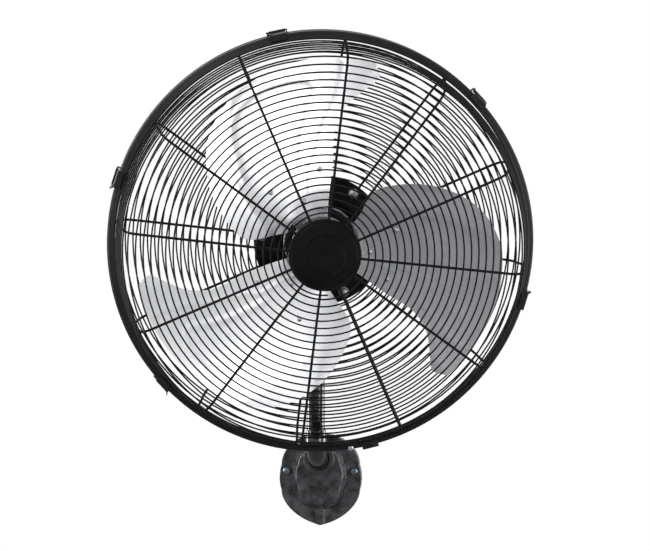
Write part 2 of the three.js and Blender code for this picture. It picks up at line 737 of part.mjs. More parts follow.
function cableGland() {
  const outline = [
    [3.4, 62],
    [6, 62],
    [6, 70.4],
    [9.5, 70.4],
    [9.5, 74],
    [8, 82],
    [3.4, 82],
  ];
  return atInlet(sideways(outline, 8));
}

const statorCore = () => axial(tubeOutline(STATOR.bore, STATOR.outer, STATOR.from, STATOR.to), 14);

function winding(from, to) {
  const inner = STATOR.bore + 4;
  const outer = STATOR.outer - 7;
  const mid = from + (to - from) * 0.55;
  const outline = [
    [inner, from],
    [outer, from],
    [outer, mid],
    [outer - 5, to],
    [inner + 4, to],
  ];
  return axial(outline, 10);
}

const rotorCore = () => axial(tubeOutline(SHAFT.r + GAP, STATOR.bore - 1.2, STATOR.from, STATOR.to), 14);
const motorShaft = () => axial(rod(SHAFT.r, SHAFT.back, SHAFT.front), 10);

function bearing(front) {
  return axial(tubeOutline(BEARING.bore, BEARING.outer, front - BEARING.wide + GAP, front), 10);
}

const runCapacitor = () =>
  sideways(rod(8, -16, 16), 12).translate(0, 103, 34);

function speedSwitch() {
  return new THREE.BoxGeometry(20, 14, 20).translate(0, 106, -KNOB_PAD.below);
}

function speedKnob() {
  const face = KNOB_PAD.out + GAP;
  const outline = [
    [0, MOTOR.back + 8.6],
    [3, MOTOR.back + 8.6],
    [3, -face],
    [14, -face],
    [14, -face - 3],
    [11.5, -face - 4],
    [10.5, -face - 13],
    [9, -face - 14],
    [0, -face - 14],
  ];
  const bar = new THREE.BoxGeometry(4, 9, 21).translate(0, face + 9.5, 0);
  return join(axial(outline, 14), bar);
}

// ---- Fan blades and hub ----------------------------------------------------------------------------

// The trailing and leading edges, as degrees from the blade's own line against the radius.
const edgeCurve = (pairs) => new THREE.SplineCurve(pairs.map(([r, angle]) => new THREE.Vector2(r, angle)));
const TRAILING = edgeCurve([
  [BLADE_ROOT, -46],
  [84, -57],
  [106, -58],
  [130, -51],
  [179, -35.5],
  [214, -22],
  [BLADE_TIP_TRAIL, -9],
]);
const LEADING = edgeCurve([
  [BLADE_ROOT, 31],
  [107, 30],
  [150, 28.5],
  [185, 32],
  [213, 38],
  [232, 41],
  [BLADE_TIP_LEAD, 38.5],
]);

// How far ahead of the rotor's plane the sheet lies at a radius and an angle: it is pitched, with its leading
// edge back and its trailing edge forward, hollowed a little on the front, and lies flat near the hub.
function bladeRise(r, angle) {
  const reach = THREE.MathUtils.clamp((r - BLADE_ROOT) / (BLADE_TIP_LEAD - BLADE_ROOT), 0, 1);
  const trail = -52 + 47 * reach;
  const lead = 30 + 9 * reach;
  const chord = (rad(lead - trail) * r) / 2;
  const offset = rad(angle - (lead + trail) / 2) * r;
  const pitch = Math.tan(rad(THREE.MathUtils.lerp(BLADE.rootPitch, BLADE.tipPitch, reach ** 0.7)));
  const hollow = 2 * chord * BLADE.camber * Math.max(0, 1 - (offset / chord) ** 2);
  return THREE.MathUtils.smoothstep(r, 28, 74) * (-pitch * offset - hollow);
}

// A pressed sheet over a grid of [radius, angle, lift] spots, `thick` deep and lowered by `drop`.
function pressedSheet(grid, thick, drop) {
  const rows = grid.length;
  const cols = grid[0].length;
  const at = (r, angle, ahead) => clockwise(rad(angle), r, ahead);
  const front = grid.flat().map(([r, a, lift]) => at(r, a, ROTOR_PLANE + bladeRise(r, a) + lift - drop + thick / 2));
  const back = grid.flat().map(([r, a, lift]) => at(r, a, ROTOR_PLANE + bladeRise(r, a) + lift - drop - thick / 2));
  const faces = [];
  const quad = (a, b, c, d) => faces.push(a, b, c, a, c, d);
  const off = rows * cols;
  for (let i = 0; i + 1 < rows; i += 1) {
    for (let j = 0; j + 1 < cols; j += 1) {
      const a = i * cols + j;
      quad(a, a + cols, a + cols + 1, a + 1);
      quad(off + a, off + a + 1, off + a + cols + 1, off + a + cols);
    }
    quad(i * cols, off + i * cols, off + (i + 1) * cols, (i + 1) * cols);
    const e = i * cols + cols - 1;
    quad(e, e + cols, off + e + cols, off + e);
  }
  for (let j = 0; j + 1 < cols; j += 1) {
    quad(j, j + 1, off + j + 1, off + j);
    const e = (rows - 1) * cols + j;
    quad(e, off + e, off + e + 1, e + 1);
  }
  return closedSkin([...front, ...back], faces);
}

// One blade with its pressed horseshoe: two legs that run out from the rivets and an arc that joins them.
function blade() {
  const outward = [0, 0.12, 0.24, 0.4, 0.58, 0.77, 0.82, 0.87, 1];
  const across = [0, 0.2, 0.25, 0.3, 0.5, 0.7, 0.75, 0.8, 1];
  const legs = [0.25, 0.75];
  const arc = 0.82;
  const grid = outward.map((u) => {
    const trail = TRAILING.getPoint(u);
    const lead = LEADING.getPoint(u);
    return across.map((v) => {
      const bulge = 4 * u ** 4 * v * (1 - v) * 4;
      const r = THREE.MathUtils.lerp(trail.x, lead.x, v) + bulge;
      const onLeg = legs.includes(v) && u >= 0.24 && u <= arc;
      const onArc = u === arc && v >= legs[0] && v <= legs[1];
      return [r, THREE.MathUtils.lerp(trail.y, lead.y, v), onLeg || onArc ? RIB_RISE : 0];
    });
  });
  return pressedSheet(grid, BLADE.thick, 0);
}

const SPIDER_DROP = BLADE.thick / 2 + SPIDER.thick / 2 + 2.4 * GAP;

function bladeSpider() {
  const disc = axial(rod(SPIDER.disc, ROTOR_PLANE - SPIDER_DROP - SPIDER.thick / 2, spiderFront()), 20);
  const arms = bladeAngles().map((turn) => {
    const rows = [26, 46, 66, 90, SPIDER.reach];
    const grid = rows.map((r, i) => {
      const spread = i === rows.length - 1 ? 0.8 : 1;
      const half = THREE.MathUtils.mapLinear(r, 26, SPIDER.reach, 34, SPIDER.armFar) * spread;
      return [-1, -0.5, 0, 0.5, 1].map((v) => [r, v * half, 0]);
    });
    return pressedSheet(grid, SPIDER.thick, SPIDER_DROP).rotateY(turn);
  });
  const bore = axial(rod(12 + GAP, ROTOR_PLANE - 12, ROTOR_PLANE + 12), 16);
  return cut(join(disc, ...arms), bore);
}

const spiderFront = () => ROTOR_PLANE - SPIDER_DROP + SPIDER.thick / 2;

function bladeHub() {
  const under = ROTOR_PLANE - SPIDER_DROP - SPIDER.thick / 2 - GAP;
  const outline = [
    [SHAFT.r + GAP, -8],
    [15, -8],
    [15, under - 5],
    [25, under - 4],
    [25, under],
    [12, under],
    [12, spiderFront() + 0.2],
    [SHAFT.r + GAP, spiderFront() + 0.2],
  ];
  return axial(outline, 12);
}

function hubWasher() {
  const from = spiderFront() + 0.2 + GAP;
  return axial(tubeOutline(SHAFT.r + GAP, 17, from, from + 1.6), 10);
}

function hubNut() {
  const from = spiderFront() + 0.2 + 1.6 + 2 * GAP;
  const hex = new THREE.CylinderGeometry(9.2, 9.2, 8, 6).translate(0, -(from + 4), 0);
  return cut(hex, axial(rod(SHAFT.r + GAP, from - 2, from + 12), 10));
}

function bladeAngles() {
  return Array.from({ length: BLADE.count }, (_, i) => rad(BLADE.phase + (360 / BLADE.count) * i));
}

// ---- Assembly --------------------------------------------------------------------------------------

const fan = new THREE.Group();
fan.add(piece("wall_plate", wallPlate(), castBlack));
fan.add(piece("plate_screw_left", plateScrew(-1), zinc));
fan.add(piece("plate_screw_right", plateScrew(1), zinc));
fan.add(piece("arm_elbow", armElbow(), tubeBlack));
fan.add(piece("arm_post", armPost(), tubeBlack));

// The swivel turns about the post.
const swivel = new THREE.Group();
swivel.position.y = -ARM_REACH;
swivel.rotation.z = rad(REST_PAN);
fan.add(swivel);

// The neck's pieces are drawn where they stand with the head looking straight ahead.
const neck = new THREE.Group();
neck.position.y = ARM_REACH;
swivel.add(neck);
neck.add(piece("swivel_neck", swivelNeck(), castBlack));
neck.add(piece("tilt_bolt", tiltBolt(), zinc));
neck.add(piece("tilt_washer_left", tiltWasher(-1), zinc));
neck.add(piece("tilt_washer_right", tiltWasher(1), zinc));
neck.add(piece("tilt_knob", tiltKnob(), knobBlack));
neck.add(piece("pan_knob", panKnob(), knobBlack));
neck.add(piece("pan_screw", panScrew(), zinc));

// The head nods about the tilt bolt. Its own origin is the middle of the rim.
const nod = new THREE.Group();
nod.position.z = PIVOT_HEIGHT;
nod.rotation.x = rad(REST_TILT);
swivel.add(nod);
const head = new THREE.Group();
head.position.set(0, -RIM_AHEAD, AXIS_ABOVE_PIVOT);
nod.add(head);

head.add(piece("motor_bell", motorBell(), motorBlack));
head.add(piece("motor_rear_cover", motorRearCover(), motorBlack));
head.add(piece("tilt_lug", tiltLug(), castBlack));
head.add(piece("stator_core", statorCore(), lamination));
head.add(piece("winding_front", winding(STATOR.to + GAP, STATOR.to + 9), copper));
head.add(piece("winding_rear", winding(STATOR.from - GAP, STATOR.from - 9), copper));
head.add(piece("front_bearing", bearing(BEARING.front), steel));
head.add(piece("rear_bearing", bearing(BEARING.rear), steel));
head.add(piece("run_capacitor", runCapacitor(), greyPlastic));
head.add(piece("speed_switch", speedSwitch(), greyPlastic));
head.add(piece("cable_gland", cableGland(), knobBlack));
motorBoltPlaces().forEach((place, i) => head.add(piece(`motor_bolt_${i + 1}`, motorBolt(place), zinc)));
head.add(piece("rear_guard_frame", rearGuardFrame(), wireBlack));
head.add(piece("rear_guard_spiral", rearGuardSpiral(), wireBlack));
head.add(piece("front_guard_frame", frontGuardFrame(), wireBlack));
head.add(piece("front_guard_spiral", frontGuardSpiral(), wireBlack));
head.add(piece("front_medallion", medallion(), capBlack));
head.add(piece("rim_band", rimBand(), bandBlack));
CLIP.angles.forEach((angle, i) => head.add(piece(`guard_clip_${i + 1}`, guardClip(angle), bandBlack)));
head.add(piece("safety_clip", safetyClip(), bandBlack));
head.add(piece("clip_screw", clipScrew(), zinc));

const knob = piece("speed_knob", speedKnob(), knobBlack);
knob.position.z = -KNOB_PAD.below;
head.add(knob);

head.add(piece("motor_shaft", motorShaft(), steel));
head.add(piece("rotor_core", rotorCore(), lamination));
head.add(piece("blade_hub", bladeHub(), steel));
head.add(piece("blade_spider", bladeSpider(), steel));
bladeAngles().forEach((turn, i) => {
  const mesh = piece(`blade_${i + 1}`, blade(), aluminium);
  mesh.rotation.y = turn;
  head.add(mesh);
});
head.add(piece("hub_washer", hubWasher(), zinc));
head.add(piece("hub_nut", hubNut(), zinc));

export default fan;
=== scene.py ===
"""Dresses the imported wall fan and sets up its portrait.

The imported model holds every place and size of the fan. Each class below is one sub-assembly. It keeps its
own sizes in millimetres, in the coordinates of the thing that carries it, and builds the finely shaped pieces
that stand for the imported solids.
"""

import logging
import math
from dataclasses import dataclass, field
from enum import Enum
from typing import Callable, Iterable, Sequence

import bmesh
import bpy
import numpy as np
from mathutils import Matrix, Vector

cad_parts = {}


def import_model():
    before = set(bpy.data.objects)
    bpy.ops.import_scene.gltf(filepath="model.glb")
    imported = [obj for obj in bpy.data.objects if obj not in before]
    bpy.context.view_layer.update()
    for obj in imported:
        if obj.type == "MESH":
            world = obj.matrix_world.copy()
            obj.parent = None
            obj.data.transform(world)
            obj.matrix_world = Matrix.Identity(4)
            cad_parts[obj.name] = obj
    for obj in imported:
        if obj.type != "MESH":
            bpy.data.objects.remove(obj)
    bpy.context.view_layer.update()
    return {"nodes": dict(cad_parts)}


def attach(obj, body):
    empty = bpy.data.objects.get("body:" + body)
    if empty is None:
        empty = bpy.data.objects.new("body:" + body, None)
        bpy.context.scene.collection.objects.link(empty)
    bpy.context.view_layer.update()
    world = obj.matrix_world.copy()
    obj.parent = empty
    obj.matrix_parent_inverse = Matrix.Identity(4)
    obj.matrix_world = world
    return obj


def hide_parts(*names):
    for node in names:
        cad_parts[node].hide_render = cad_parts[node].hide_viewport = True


log = logging.getLogger("wall_fan")

MM = 0.001
Spot = tuple[float, float]
IMAGE_SIZE = (650, 551)
FIRST_BLADE = 338.0


# ---- Where the pieces are drawn ----------------------------------------------------------------------


@dataclass(frozen=True)
class Stance:
    """How the fan stands at rest: its reach from the wall and the turns of its head."""

    reach: float = 72.0
    pivot_height: float = 231.2
    axis_above_pivot: float = 87.0
    rim_ahead: float = 97.0
    pan: float = 9.2
    tilt: float = 7.7

    def neck(self) -> Matrix:
        """Gives the placement of what turns about the post, drawn as if it looked straight ahead."""
        post = Matrix.Translation(Vector((0, -self.reach, 0)) * MM)
        return post @ Matrix.Rotation(math.radians(self.pan), 4, "Z") @ post.inverted()

    def head(self) -> Matrix:
        """Gives the placement of the head, whose own origin is the middle of the rim."""
        pivot = Matrix.Translation(Vector((0, -self.reach, self.pivot_height)) * MM)
        rim = Matrix.Translation(Vector((0, -self.rim_ahead, self.axis_above_pivot)) * MM)
        turn = Matrix.Rotation(math.radians(self.pan), 4, "Z")
        nod = Matrix.Rotation(math.radians(self.tilt), 4, "X")
        return pivot @ turn @ nod @ rim


STANCE = Stance()


class Carrier(Enum):
    """What a piece's drawing coordinates belong to."""

    WALL = "wall"
    NECK = "neck"
    HEAD = "head"

    def placement(self) -> Matrix:
        """Gives the matrix from this carrier's coordinates to the room's, both in metres."""
        if self is Carrier.WALL:
            return Matrix.Identity(4)
        return STANCE.neck() if self is Carrier.NECK else STANCE.head()


UPRIGHT = Matrix.Rotation(-math.pi / 2, 4, "X")
RIGHTWARD = Matrix.Rotation(math.pi / 2, 4, "Z")
LEFTWARD = Matrix.Rotation(-math.pi / 2, 4, "Z")
BACKWARD = Matrix.Rotation(math.pi, 4, "Z")


def shifted(x: float, y: float, z: float) -> Matrix:
    """Gives a shift in millimetres."""
    return Matrix.Translation((x, y, z))


def round_the_clock(degrees: float) -> Matrix:
    """Gives the turn that carries a shape from the top of the rim to a clock angle, seen from the front."""
    return Matrix.Rotation(math.radians(degrees), 4, "Y")


def at_clock(r: float, degrees: float, ahead: float) -> Vector:
    """Gives a spot by its radius, its angle clockwise from the top and its distance ahead of the rim."""
    turn = math.radians(degrees)
    return Vector((r * math.sin(turn), -ahead, r * math.cos(turn)))


# ---- Forms -------------------------------------------------------------------------------------------


@dataclass
class Form:
    """Points and faces in millimetres, before they become a mesh."""

    points: list[Vector]
    faces: list[tuple[int, ...]]

    def moved(self, *matrices: Matrix) -> "Form":
        """Gives the form carried by the matrices, the last one first."""
        whole = Matrix.Identity(4)
        for matrix in matrices:
            whole = whole @ matrix
        return Form([whole @ p for p in self.points], list(self.faces))

    def plus(self, *others: "Form") -> "Form":
        """Gives one form that holds this one and the others, each with its own skin."""
        points, faces = list(self.points), list(self.faces)
        for other in others:
            base = len(points)
            points.extend(other.points)
            faces.extend(tuple(i + base for i in face) for face in other.faces)
        return Form(points, faces)


def gathered(forms: Iterable[Form]) -> Form:
    """Gives all the forms as one."""
    return Form([], []).plus(*forms)


def rounded(outline: Sequence[Spot], radius: float, steps: int = 3, closed: bool = True) -> list[Spot]:
    """Rounds the corners of an outline.

    Args:
        outline: The corners, in order.
        radius: How far from a corner its rounding starts, less where the sides are short.
        steps: The number of straight bits in each rounding.
        closed: Whether the last corner joins the first.

    Returns:
        The rounded outline.
    """
    count = len(outline)
    result: list[Spot] = []
    for i, corner in enumerate(outline):
        here = Vector(corner)
        if not closed and i in (0, count - 1):
            result.append((here.x, here.y))
            continue
        before, after = Vector(outline[i - 1]) - here, Vector(outline[(i + 1) % count]) - here
        if before.length < 1e-6 or after.length < 1e-6:
            result.append((here.x, here.y))
            continue
        start = here + before.normalized() * min(radius, 0.45 * before.length)
        end = here + after.normalized() * min(radius, 0.45 * after.length)
        for k in range(steps + 1):
            t = k / steps
            spot = start * (1 - t) ** 2 + here * 2 * t * (1 - t) + end * t * t
            result.append((spot.x, spot.y))
    return result


def lathe(outline: Sequence[Spot], segments: int = 96, closed: bool = True) -> Form:
    """Turns an outline of (radius, ahead) about the line that points ahead.

    Args:
        outline: The spots of the outline.
        segments: The number of sides of the turned form.
        closed: Whether the last spot joins the first one.

    Returns:
        The turned form.
    """
    points: list[Vector] = []
    rows: list[list[int]] = []
    for r, ahead in outline:
        if r < 1e-6:
            points.append(Vector((0, -ahead, 0)))
            rows.append([len(points) - 1] * segments)
            continue
        rows.append(list(range(len(points), len(points) + segments)))
        points.extend(at_clock(r, 360 * i / segments, ahead) for i in range(segments))
    faces: list[tuple[int, ...]] = []
    pairs = list(zip(rows, rows[1:])) + ([(rows[-1], rows[0])] if closed else [])
    for a, b in pairs:
        if a[0] == a[1] and b[0] == b[1]:
            continue
        for i in range(segments):
            j = (i + 1) % segments
            corners = [a[i], a[j], b[j], b[i]]
            faces.append(tuple(dict.fromkeys(corners)))
    return Form(points, faces)


def loft(rings: Sequence[Sequence[Vector]], caps: bool = True, looped: bool = False) -> Form:
    """Joins rings that hold the same number of points.

    Args:
        rings: The rings, in order.
        caps: Whether both ends are closed by a face.
        looped: Whether the last ring joins the first one.

    Returns:
        The lofted form.
    """
    around = len(rings[0])
    points = [p for ring in rings for p in ring]
    faces: list[tuple[int, ...]] = []
    count = len(rings)
    for i in range(count if looped else count - 1):
        a, b = i * around, ((i + 1) % count) * around
        for j in range(around):
            k = (j + 1) % around
            faces.append((a + j, a + k, b + k, b + j))
    if caps and not looped:
        faces.append(tuple(range(around)))
        faces.append(tuple(range((count - 1) * around, count * around)))
    return Form(points, faces)


def wire(path: Sequence[Vector], radius: float, sides: int = 8, looped: bool = False,
         domed: bool = True) -> Form:
    """Runs a round wire along a path.

    Args:
        path: The middle line of the wire.
        radius: The wire's radius.
        sides: The number of sides of its section.
        looped: Whether the wire closes on itself.
        domed: Whether open ends are slightly domed, not flat.

    Returns:
        The wire.
    """
    count = len(path)
    tangents = []
    for i in range(count):
        ahead = path[(i + 1) % count] if looped or i + 1 < count else path[i]
        behind = path[i - 1] if looped or i > 0 else path[i]
        tangents.append((ahead - behind).normalized())
    up = tangents[0].orthogonal().normalized()
    rings: list[list[Vector]] = []
    for spot, tangent in zip(path, tangents):
        up = (up - tangent * up.dot(tangent)).normalized()
        side = tangent.cross(up)
        turns = [2 * math.pi * k / sides for k in range(sides)]
        rings.append([spot + (up * math.cos(t) + side * math.sin(t)) * radius for t in turns])
    if domed and not looped:
        rings.insert(0, [path[0] + (p - path[0]) * 0.6 - tangents[0] * radius * 0.5 for p in rings[0]])
        rings.append([path[-1] + (p - path[-1]) * 0.6 + tangents[-1] * radius * 0.5 for p in rings[-1]])
    return loft(rings, looped=looped)


def slab(outline: Sequence[Spot], near: float, far: float) -> Form:
    """Gives a plate with an outline of (x, z), from `near` to `far` ahead."""
    rings = [[Vector((x, -ahead, z)) for x, z in outline] for ahead in (near, far)]
    return loft(rings)


def peg(r: float, back: float, front: float, sides: int = 32, soft: float = 0.0) -> Form:
    """Gives a round peg, with its corners rounded where `soft` isn't 0."""
    outline = [(0, back), (r, back), (r, front), (0, front)]
    return lathe(rounded(outline, soft, closed=False) if soft else outline, sides, closed=False)


def hoop(inner: float, outer: float, back: float, front: float, soft: float, sides: int) -> Form:
    """Gives a flat ring with a square section and rounded corners."""
    return lathe(rounded([(inner, back), (outer, back), (outer, front), (inner, front)], soft), sides)


def hexagon(r: float) -> list[Spot]:
    """Gives the six corners of a nut or a bolt's head."""
    return [(r * math.cos(math.radians(60 * i)), r * math.sin(math.radians(60 * i))) for i in range(6)]


def half_oval(x: float, z: float, steps: int, lower: bool = False) -> Iterable[tuple[float, float]]:
    """Gives the spots between the ends of half an oval about (0, 0), `x` wide to a side and `z` high."""
    for i in range(1, steps):
        turn = math.pi * i / steps + (math.pi if lower else 0.0)
        yield x * math.cos(turn), z * math.sin(turn)


def star_ring(r: float, lobes: int, lobe: float, height: float, count: int = 100) -> list[Vector]:
    """Gives a lobed ring at a height along the line that points ahead."""
    ring = []
    for i in range(count):
        turn = 2 * math.pi * i / count
        reach = r + lobe * math.cos(lobes * turn)
        ring.append(Vector((reach * math.sin(turn), -height, reach * math.cos(turn))))
    return ring


def curve_spot(spots: Sequence[Spot], i: int, t: float) -> Spot:
    """Gives a spot of the smooth curve through some spots, at a share of its stretch after spot `i`."""
    last = len(spots) - 1
    a, b, c, d = (Vector(spots[min(max(k, 0), last)]) for k in (i - 1, i, i + 1, i + 2))
    spot = 0.5 * (2 * b + (c - a) * t + (2 * a - 5 * b + 4 * c - d) * t * t + (3 * b - a - 3 * c + d) * t**3)
    return spot.x, spot.y


def smooth_curve(spots: Sequence[Spot], steps: int = 8) -> list[Spot]:
    """Runs a smooth curve through some spots."""
    result = [curve_spot(spots, i, k / steps) for i in range(len(spots) - 1) for k in range(steps)]
    return result + [tuple(spots[-1])]


def along_curve(spots: Sequence[Spot], u: float) -> Spot:
    """Gives the spot at a share of a smooth curve, each stretch between two spots counting the same."""
    place = u * (len(spots) - 1)
    i = min(int(place), len(spots) - 2)
    return curve_spot(spots, i, place - i)


def smoothstep(value: float, low: float, high: float) -> float:
    """Gives 0 below `low`, 1 above `high` and an eased share between."""
    t = min(max((value - low) / (high - low), 0.0), 1.0)
    return t * t * (3 - 2 * t)


def mix(a: float, b: float, t: float) -> float:
    """Gives the value at a share of the way from `a` to `b`."""
    return a + (b - a) * t


# ---- Shader effects ----------------------------------------------------------------------------------


class Tree:
    """Lays nodes in one node tree."""

    def __init__(self, tree: bpy.types.NodeTree) -> None:
        """Keeps the tree."""
        self.tree = tree
        self.column = 0

    def add(self, kind: str, inputs: dict[str | int, object] | None = None,
            **settings: object) -> bpy.types.Node:
        """Adds a node.

        Args:
            kind: The node's type name.
            inputs: Values or output sockets for its inputs.
            settings: Its own settings.

        Returns:
            The node.
        """
        node = self.tree.nodes.new(kind)
        node.location = (self.column * 180, 0)
        self.column += 1
        for name, value in settings.items():
            setattr(node, name, value)
        for key, value in (inputs or {}).items():
            self.feed(node, key, value)
        return node

    def feed(self, node: bpy.types.Node, key: str | int, value: object) -> None:
        """Links an output socket to a node's input, or sets the input to a plain value."""
        if isinstance(value, bpy.types.NodeSocket):
            self.tree.links.new(value, node.inputs[key])
        else:
            node.inputs[key].default_value = value

    def math(self, operation: str, a: object, b: object = 0.0, clamp: bool = False) -> bpy.types.NodeSocket:
        """Adds a Math node and gives its output."""
        return self.add("ShaderNodeMath", {0: a, 1: b}, operation=operation, use_clamp=clamp).outputs[0]

    def head_place(self) -> bpy.types.NodeSocket:
        """Gives the spot in the head's own coordinates, in metres."""
        place = self.add("ShaderNodeTexCoord").outputs["Object"]
        head = STANCE.head()
        values = {"Vector": place, "Location": head.translation, "Rotation": head.to_euler("XYZ")}
        return self.add("ShaderNodeMapping", values, vector_type="TEXTURE").outputs[0]

    def polar(self, place: object) -> tuple[dict[str, object], bpy.types.NodeSocket]:
        """Gives the three parts of a place and its distance from the fan's axis."""
        parts = self.add("ShaderNodeSeparateXYZ", {0: place}).outputs
        square = self.math("ADD", *(self.math("MULTIPLY", parts[key], parts[key]) for key in ("X", "Z")))
        return parts, self.math("SQRT", square)

    def noise(self, place: object, scale: float, detail: float = 3.0,
              rough: float = 0.5) -> bpy.types.NodeSocket:
        """Adds a noise texture and gives its value."""
        values = {"Vector": place, "Scale": scale, "Detail": detail, "Roughness": rough}
        return self.add("ShaderNodeTexNoise", values).outputs["Fac"]

    def ramp(self, value: object, low: float, high: float, start: float = 0.0,
             end: float = 1.0) -> bpy.types.NodeSocket:
        """Maps a value from one range to another, held at both ends."""
        values = {"Value": value, "From Min": low, "From Max": high, "To Min": start, "To Max": end}
        return self.add("ShaderNodeMapRange", values, interpolation_type="SMOOTHSTEP").outputs["Result"]

    def blend(self, share: object, a: object, b: object) -> bpy.types.NodeSocket:
        """Mixes two colours. A Mix node has its colour inputs and output behind those for numbers."""
        node = self.add("ShaderNodeMix", {0: share, 6: a, 7: b}, data_type="RGBA", blend_type="MIX")
        return node.outputs[2]


class Effect(Enum):
    """A surface effect that several finishes share, built once as a node group."""

    EDGE_WEAR = "edge_wear"
    SETTLED_DUST = "settled_dust"
    MOTTLE = "mottle"
    TURNED_MARKS = "turned_marks"
    ROLLED_MARKS = "rolled_marks"

    def group(self) -> bpy.types.NodeTree:
        """Gives the effect's node group and makes it the first time."""
        found = bpy.data.node_groups.get(self.value)
        return found or EFFECT_MAKERS[self]()


def new_group(name: str, inputs: dict[str, float],
              outputs: Sequence[str]) -> tuple[Tree, bpy.types.Node, bpy.types.Node]:
    """Starts a node group.

    Args:
        name: The group's name.
        inputs: Its inputs with their default values.
        outputs: The names of its outputs.

    Returns:
        The tree, its input node and its output node.
    """
    group = bpy.data.node_groups.new(name, "ShaderNodeTree")
    for key, value in inputs.items():
        socket = group.interface.new_socket(name=key, in_out="INPUT", socket_type="NodeSocketFloat")
        socket.default_value = value
    for key in outputs:
        group.interface.new_socket(name=key, in_out="OUTPUT", socket_type="NodeSocketFloat")
    tree = Tree(group)
    return tree, tree.add("NodeGroupInput"), tree.add("NodeGroupOutput")


def make_edge_wear() -> bpy.types.NodeTree:
    """Builds the mask of sharp edges where the finish is rubbed."""
    tree, values, out = new_group(Effect.EDGE_WEAR.value, {"Reach": 0.5, "Scale": 120.0}, ["Mask"])
    place = tree.add("ShaderNodeTexCoord").outputs["Object"]
    sharp = tree.add("ShaderNodeNewGeometry").outputs["Pointiness"]
    rubbed = tree.ramp(sharp, 0.52, 0.62)
    patchy = tree.ramp(tree.noise(place, values.outputs["Scale"], 4.0, 0.6), 0.42, 0.62)
    mask = tree.math("MULTIPLY", tree.math("MULTIPLY", rubbed, patchy), values.outputs["Reach"], clamp=True)
    tree.tree.links.new(mask, out.inputs["Mask"])
    return tree.tree


def make_settled_dust() -> bpy.types.NodeTree:
    """Builds the mask of the fine dust that lies on what faces up."""
    tree, values, out = new_group(Effect.SETTLED_DUST.value, {"Amount": 0.3, "Scale": 60.0}, ["Mask"])
    place = tree.add("ShaderNodeTexCoord").outputs["Object"]
    normal = tree.add("ShaderNodeNewGeometry").outputs["Normal"]
    upward = tree.add("ShaderNodeSeparateXYZ", {0: normal}).outputs["Z"]
    lying = tree.ramp(upward, 0.35, 1.0)
    patchy = tree.ramp(tree.noise(place, values.outputs["Scale"], 5.0, 0.65), 0.3, 0.75, 0.35, 1.0)
    mask = tree.math("MULTIPLY", tree.math("MULTIPLY", lying, patchy), values.outputs["Amount"], clamp=True)
    tree.tree.links.new(mask, out.inputs["Mask"])
    return tree.tree


def make_mottle() -> bpy.types.NodeTree:
    """Builds the grain of a coat: broad clouds and a fine pebbled skin."""
    inputs = {"Cloud Scale": 18.0, "Skin Scale": 900.0}
    tree, values, out = new_group(Effect.MOTTLE.value, inputs, ["Clouds", "Skin"])
    place = tree.add("ShaderNodeTexCoord").outputs["Object"]
    clouds = tree.ramp(tree.noise(place, values.outputs["Cloud Scale"], 4.0, 0.6), 0.3, 0.7)
    pebbles = tree.add("ShaderNodeTexVoronoi", {"Vector": place, "Scale": values.outputs["Skin Scale"]})
    fine = tree.noise(place, values.outputs["Skin Scale"], 2.0)
    coarse = tree.math("MULTIPLY", pebbles.outputs["Distance"], 0.6)
    skin = tree.math("ADD", coarse, tree.math("MULTIPLY", fine, 0.5))
    tree.tree.links.new(clouds, out.inputs["Clouds"])
    tree.tree.links.new(skin, out.inputs["Skin"])
    return tree.tree


def make_turned_marks() -> bpy.types.NodeTree:
    """Builds fine marks that run round the fan's axis."""
    inputs = {"Fineness": 700.0, "Waver": 2.0}
    tree, values, out = new_group(Effect.TURNED_MARKS.value, inputs, ["Marks"])
    parts, radius = tree.polar(tree.head_place())
    turn = tree.math("ARCTAN2", parts["Z"], parts["X"])
    across = tree.math("ADD", radius, parts["Y"])
    spot = tree.add("ShaderNodeCombineXYZ", {
        0: tree.math("MULTIPLY", across, values.outputs["Fineness"]),
        1: tree.math("MULTIPLY", turn, values.outputs["Waver"]),
    }).outputs[0]
    marks = tree.noise(spot, 1.0, 3.0, 0.6)
    tree.tree.links.new(marks, out.inputs["Marks"])
    return tree.tree


def make_rolled_marks() -> bpy.types.NodeTree:
    """Builds the fine straight marks that rolling leaves on sheet, the same on each of the three blades."""
    inputs = {"Fineness": 900.0, "Length": 14.0}
    tree, values, out = new_group(Effect.ROLLED_MARKS.value, inputs, ["Marks", "Clouds"])
    place = tree.head_place()
    parts, radius = tree.polar(place)
    clock = tree.math("ARCTAN2", parts["X"], parts["Z"])
    turn = tree.math("SUBTRACT", clock, math.radians(FIRST_BLADE))
    sixth = math.pi / 3
    within = tree.add("ShaderNodeMath", {0: turn, 1: sixth, 2: -sixth}, operation="WRAP").outputs[0]
    slant = tree.math("MULTIPLY", radius, tree.math("SINE", within))
    climb = tree.math("MULTIPLY", radius, tree.math("COSINE", within))
    spot = tree.add("ShaderNodeCombineXYZ", {
        0: tree.math("MULTIPLY", slant, values.outputs["Fineness"]),
        1: tree.math("MULTIPLY", climb, values.outputs["Length"]),
    }).outputs[0]
    marks = tree.noise(spot, 1.0, 3.0, 0.6)
    clouds = tree.noise(place, 9.0, 3.0, 0.5)
    tree.tree.links.new(marks, out.inputs["Marks"])
    tree.tree.links.new(clouds, out.inputs["Clouds"])
    return tree.tree


EFFECT_MAKERS: dict[Effect, Callable[[], bpy.types.NodeTree]] = {
    Effect.EDGE_WEAR: make_edge_wear,
    Effect.SETTLED_DUST: make_settled_dust,
    Effect.MOTTLE: make_mottle,
    Effect.TURNED_MARKS: make_turned_marks,
    Effect.ROLLED_MARKS: make_rolled_marks,
}


# ---- Finishes ----------------------------------------------------------------------------------------


Colour = tuple[float, float, float]


def opaque(colour: Colour) -> tuple[float, float, float, float]:
    """Gives a colour with full cover."""
    return (*colour, 1.0)


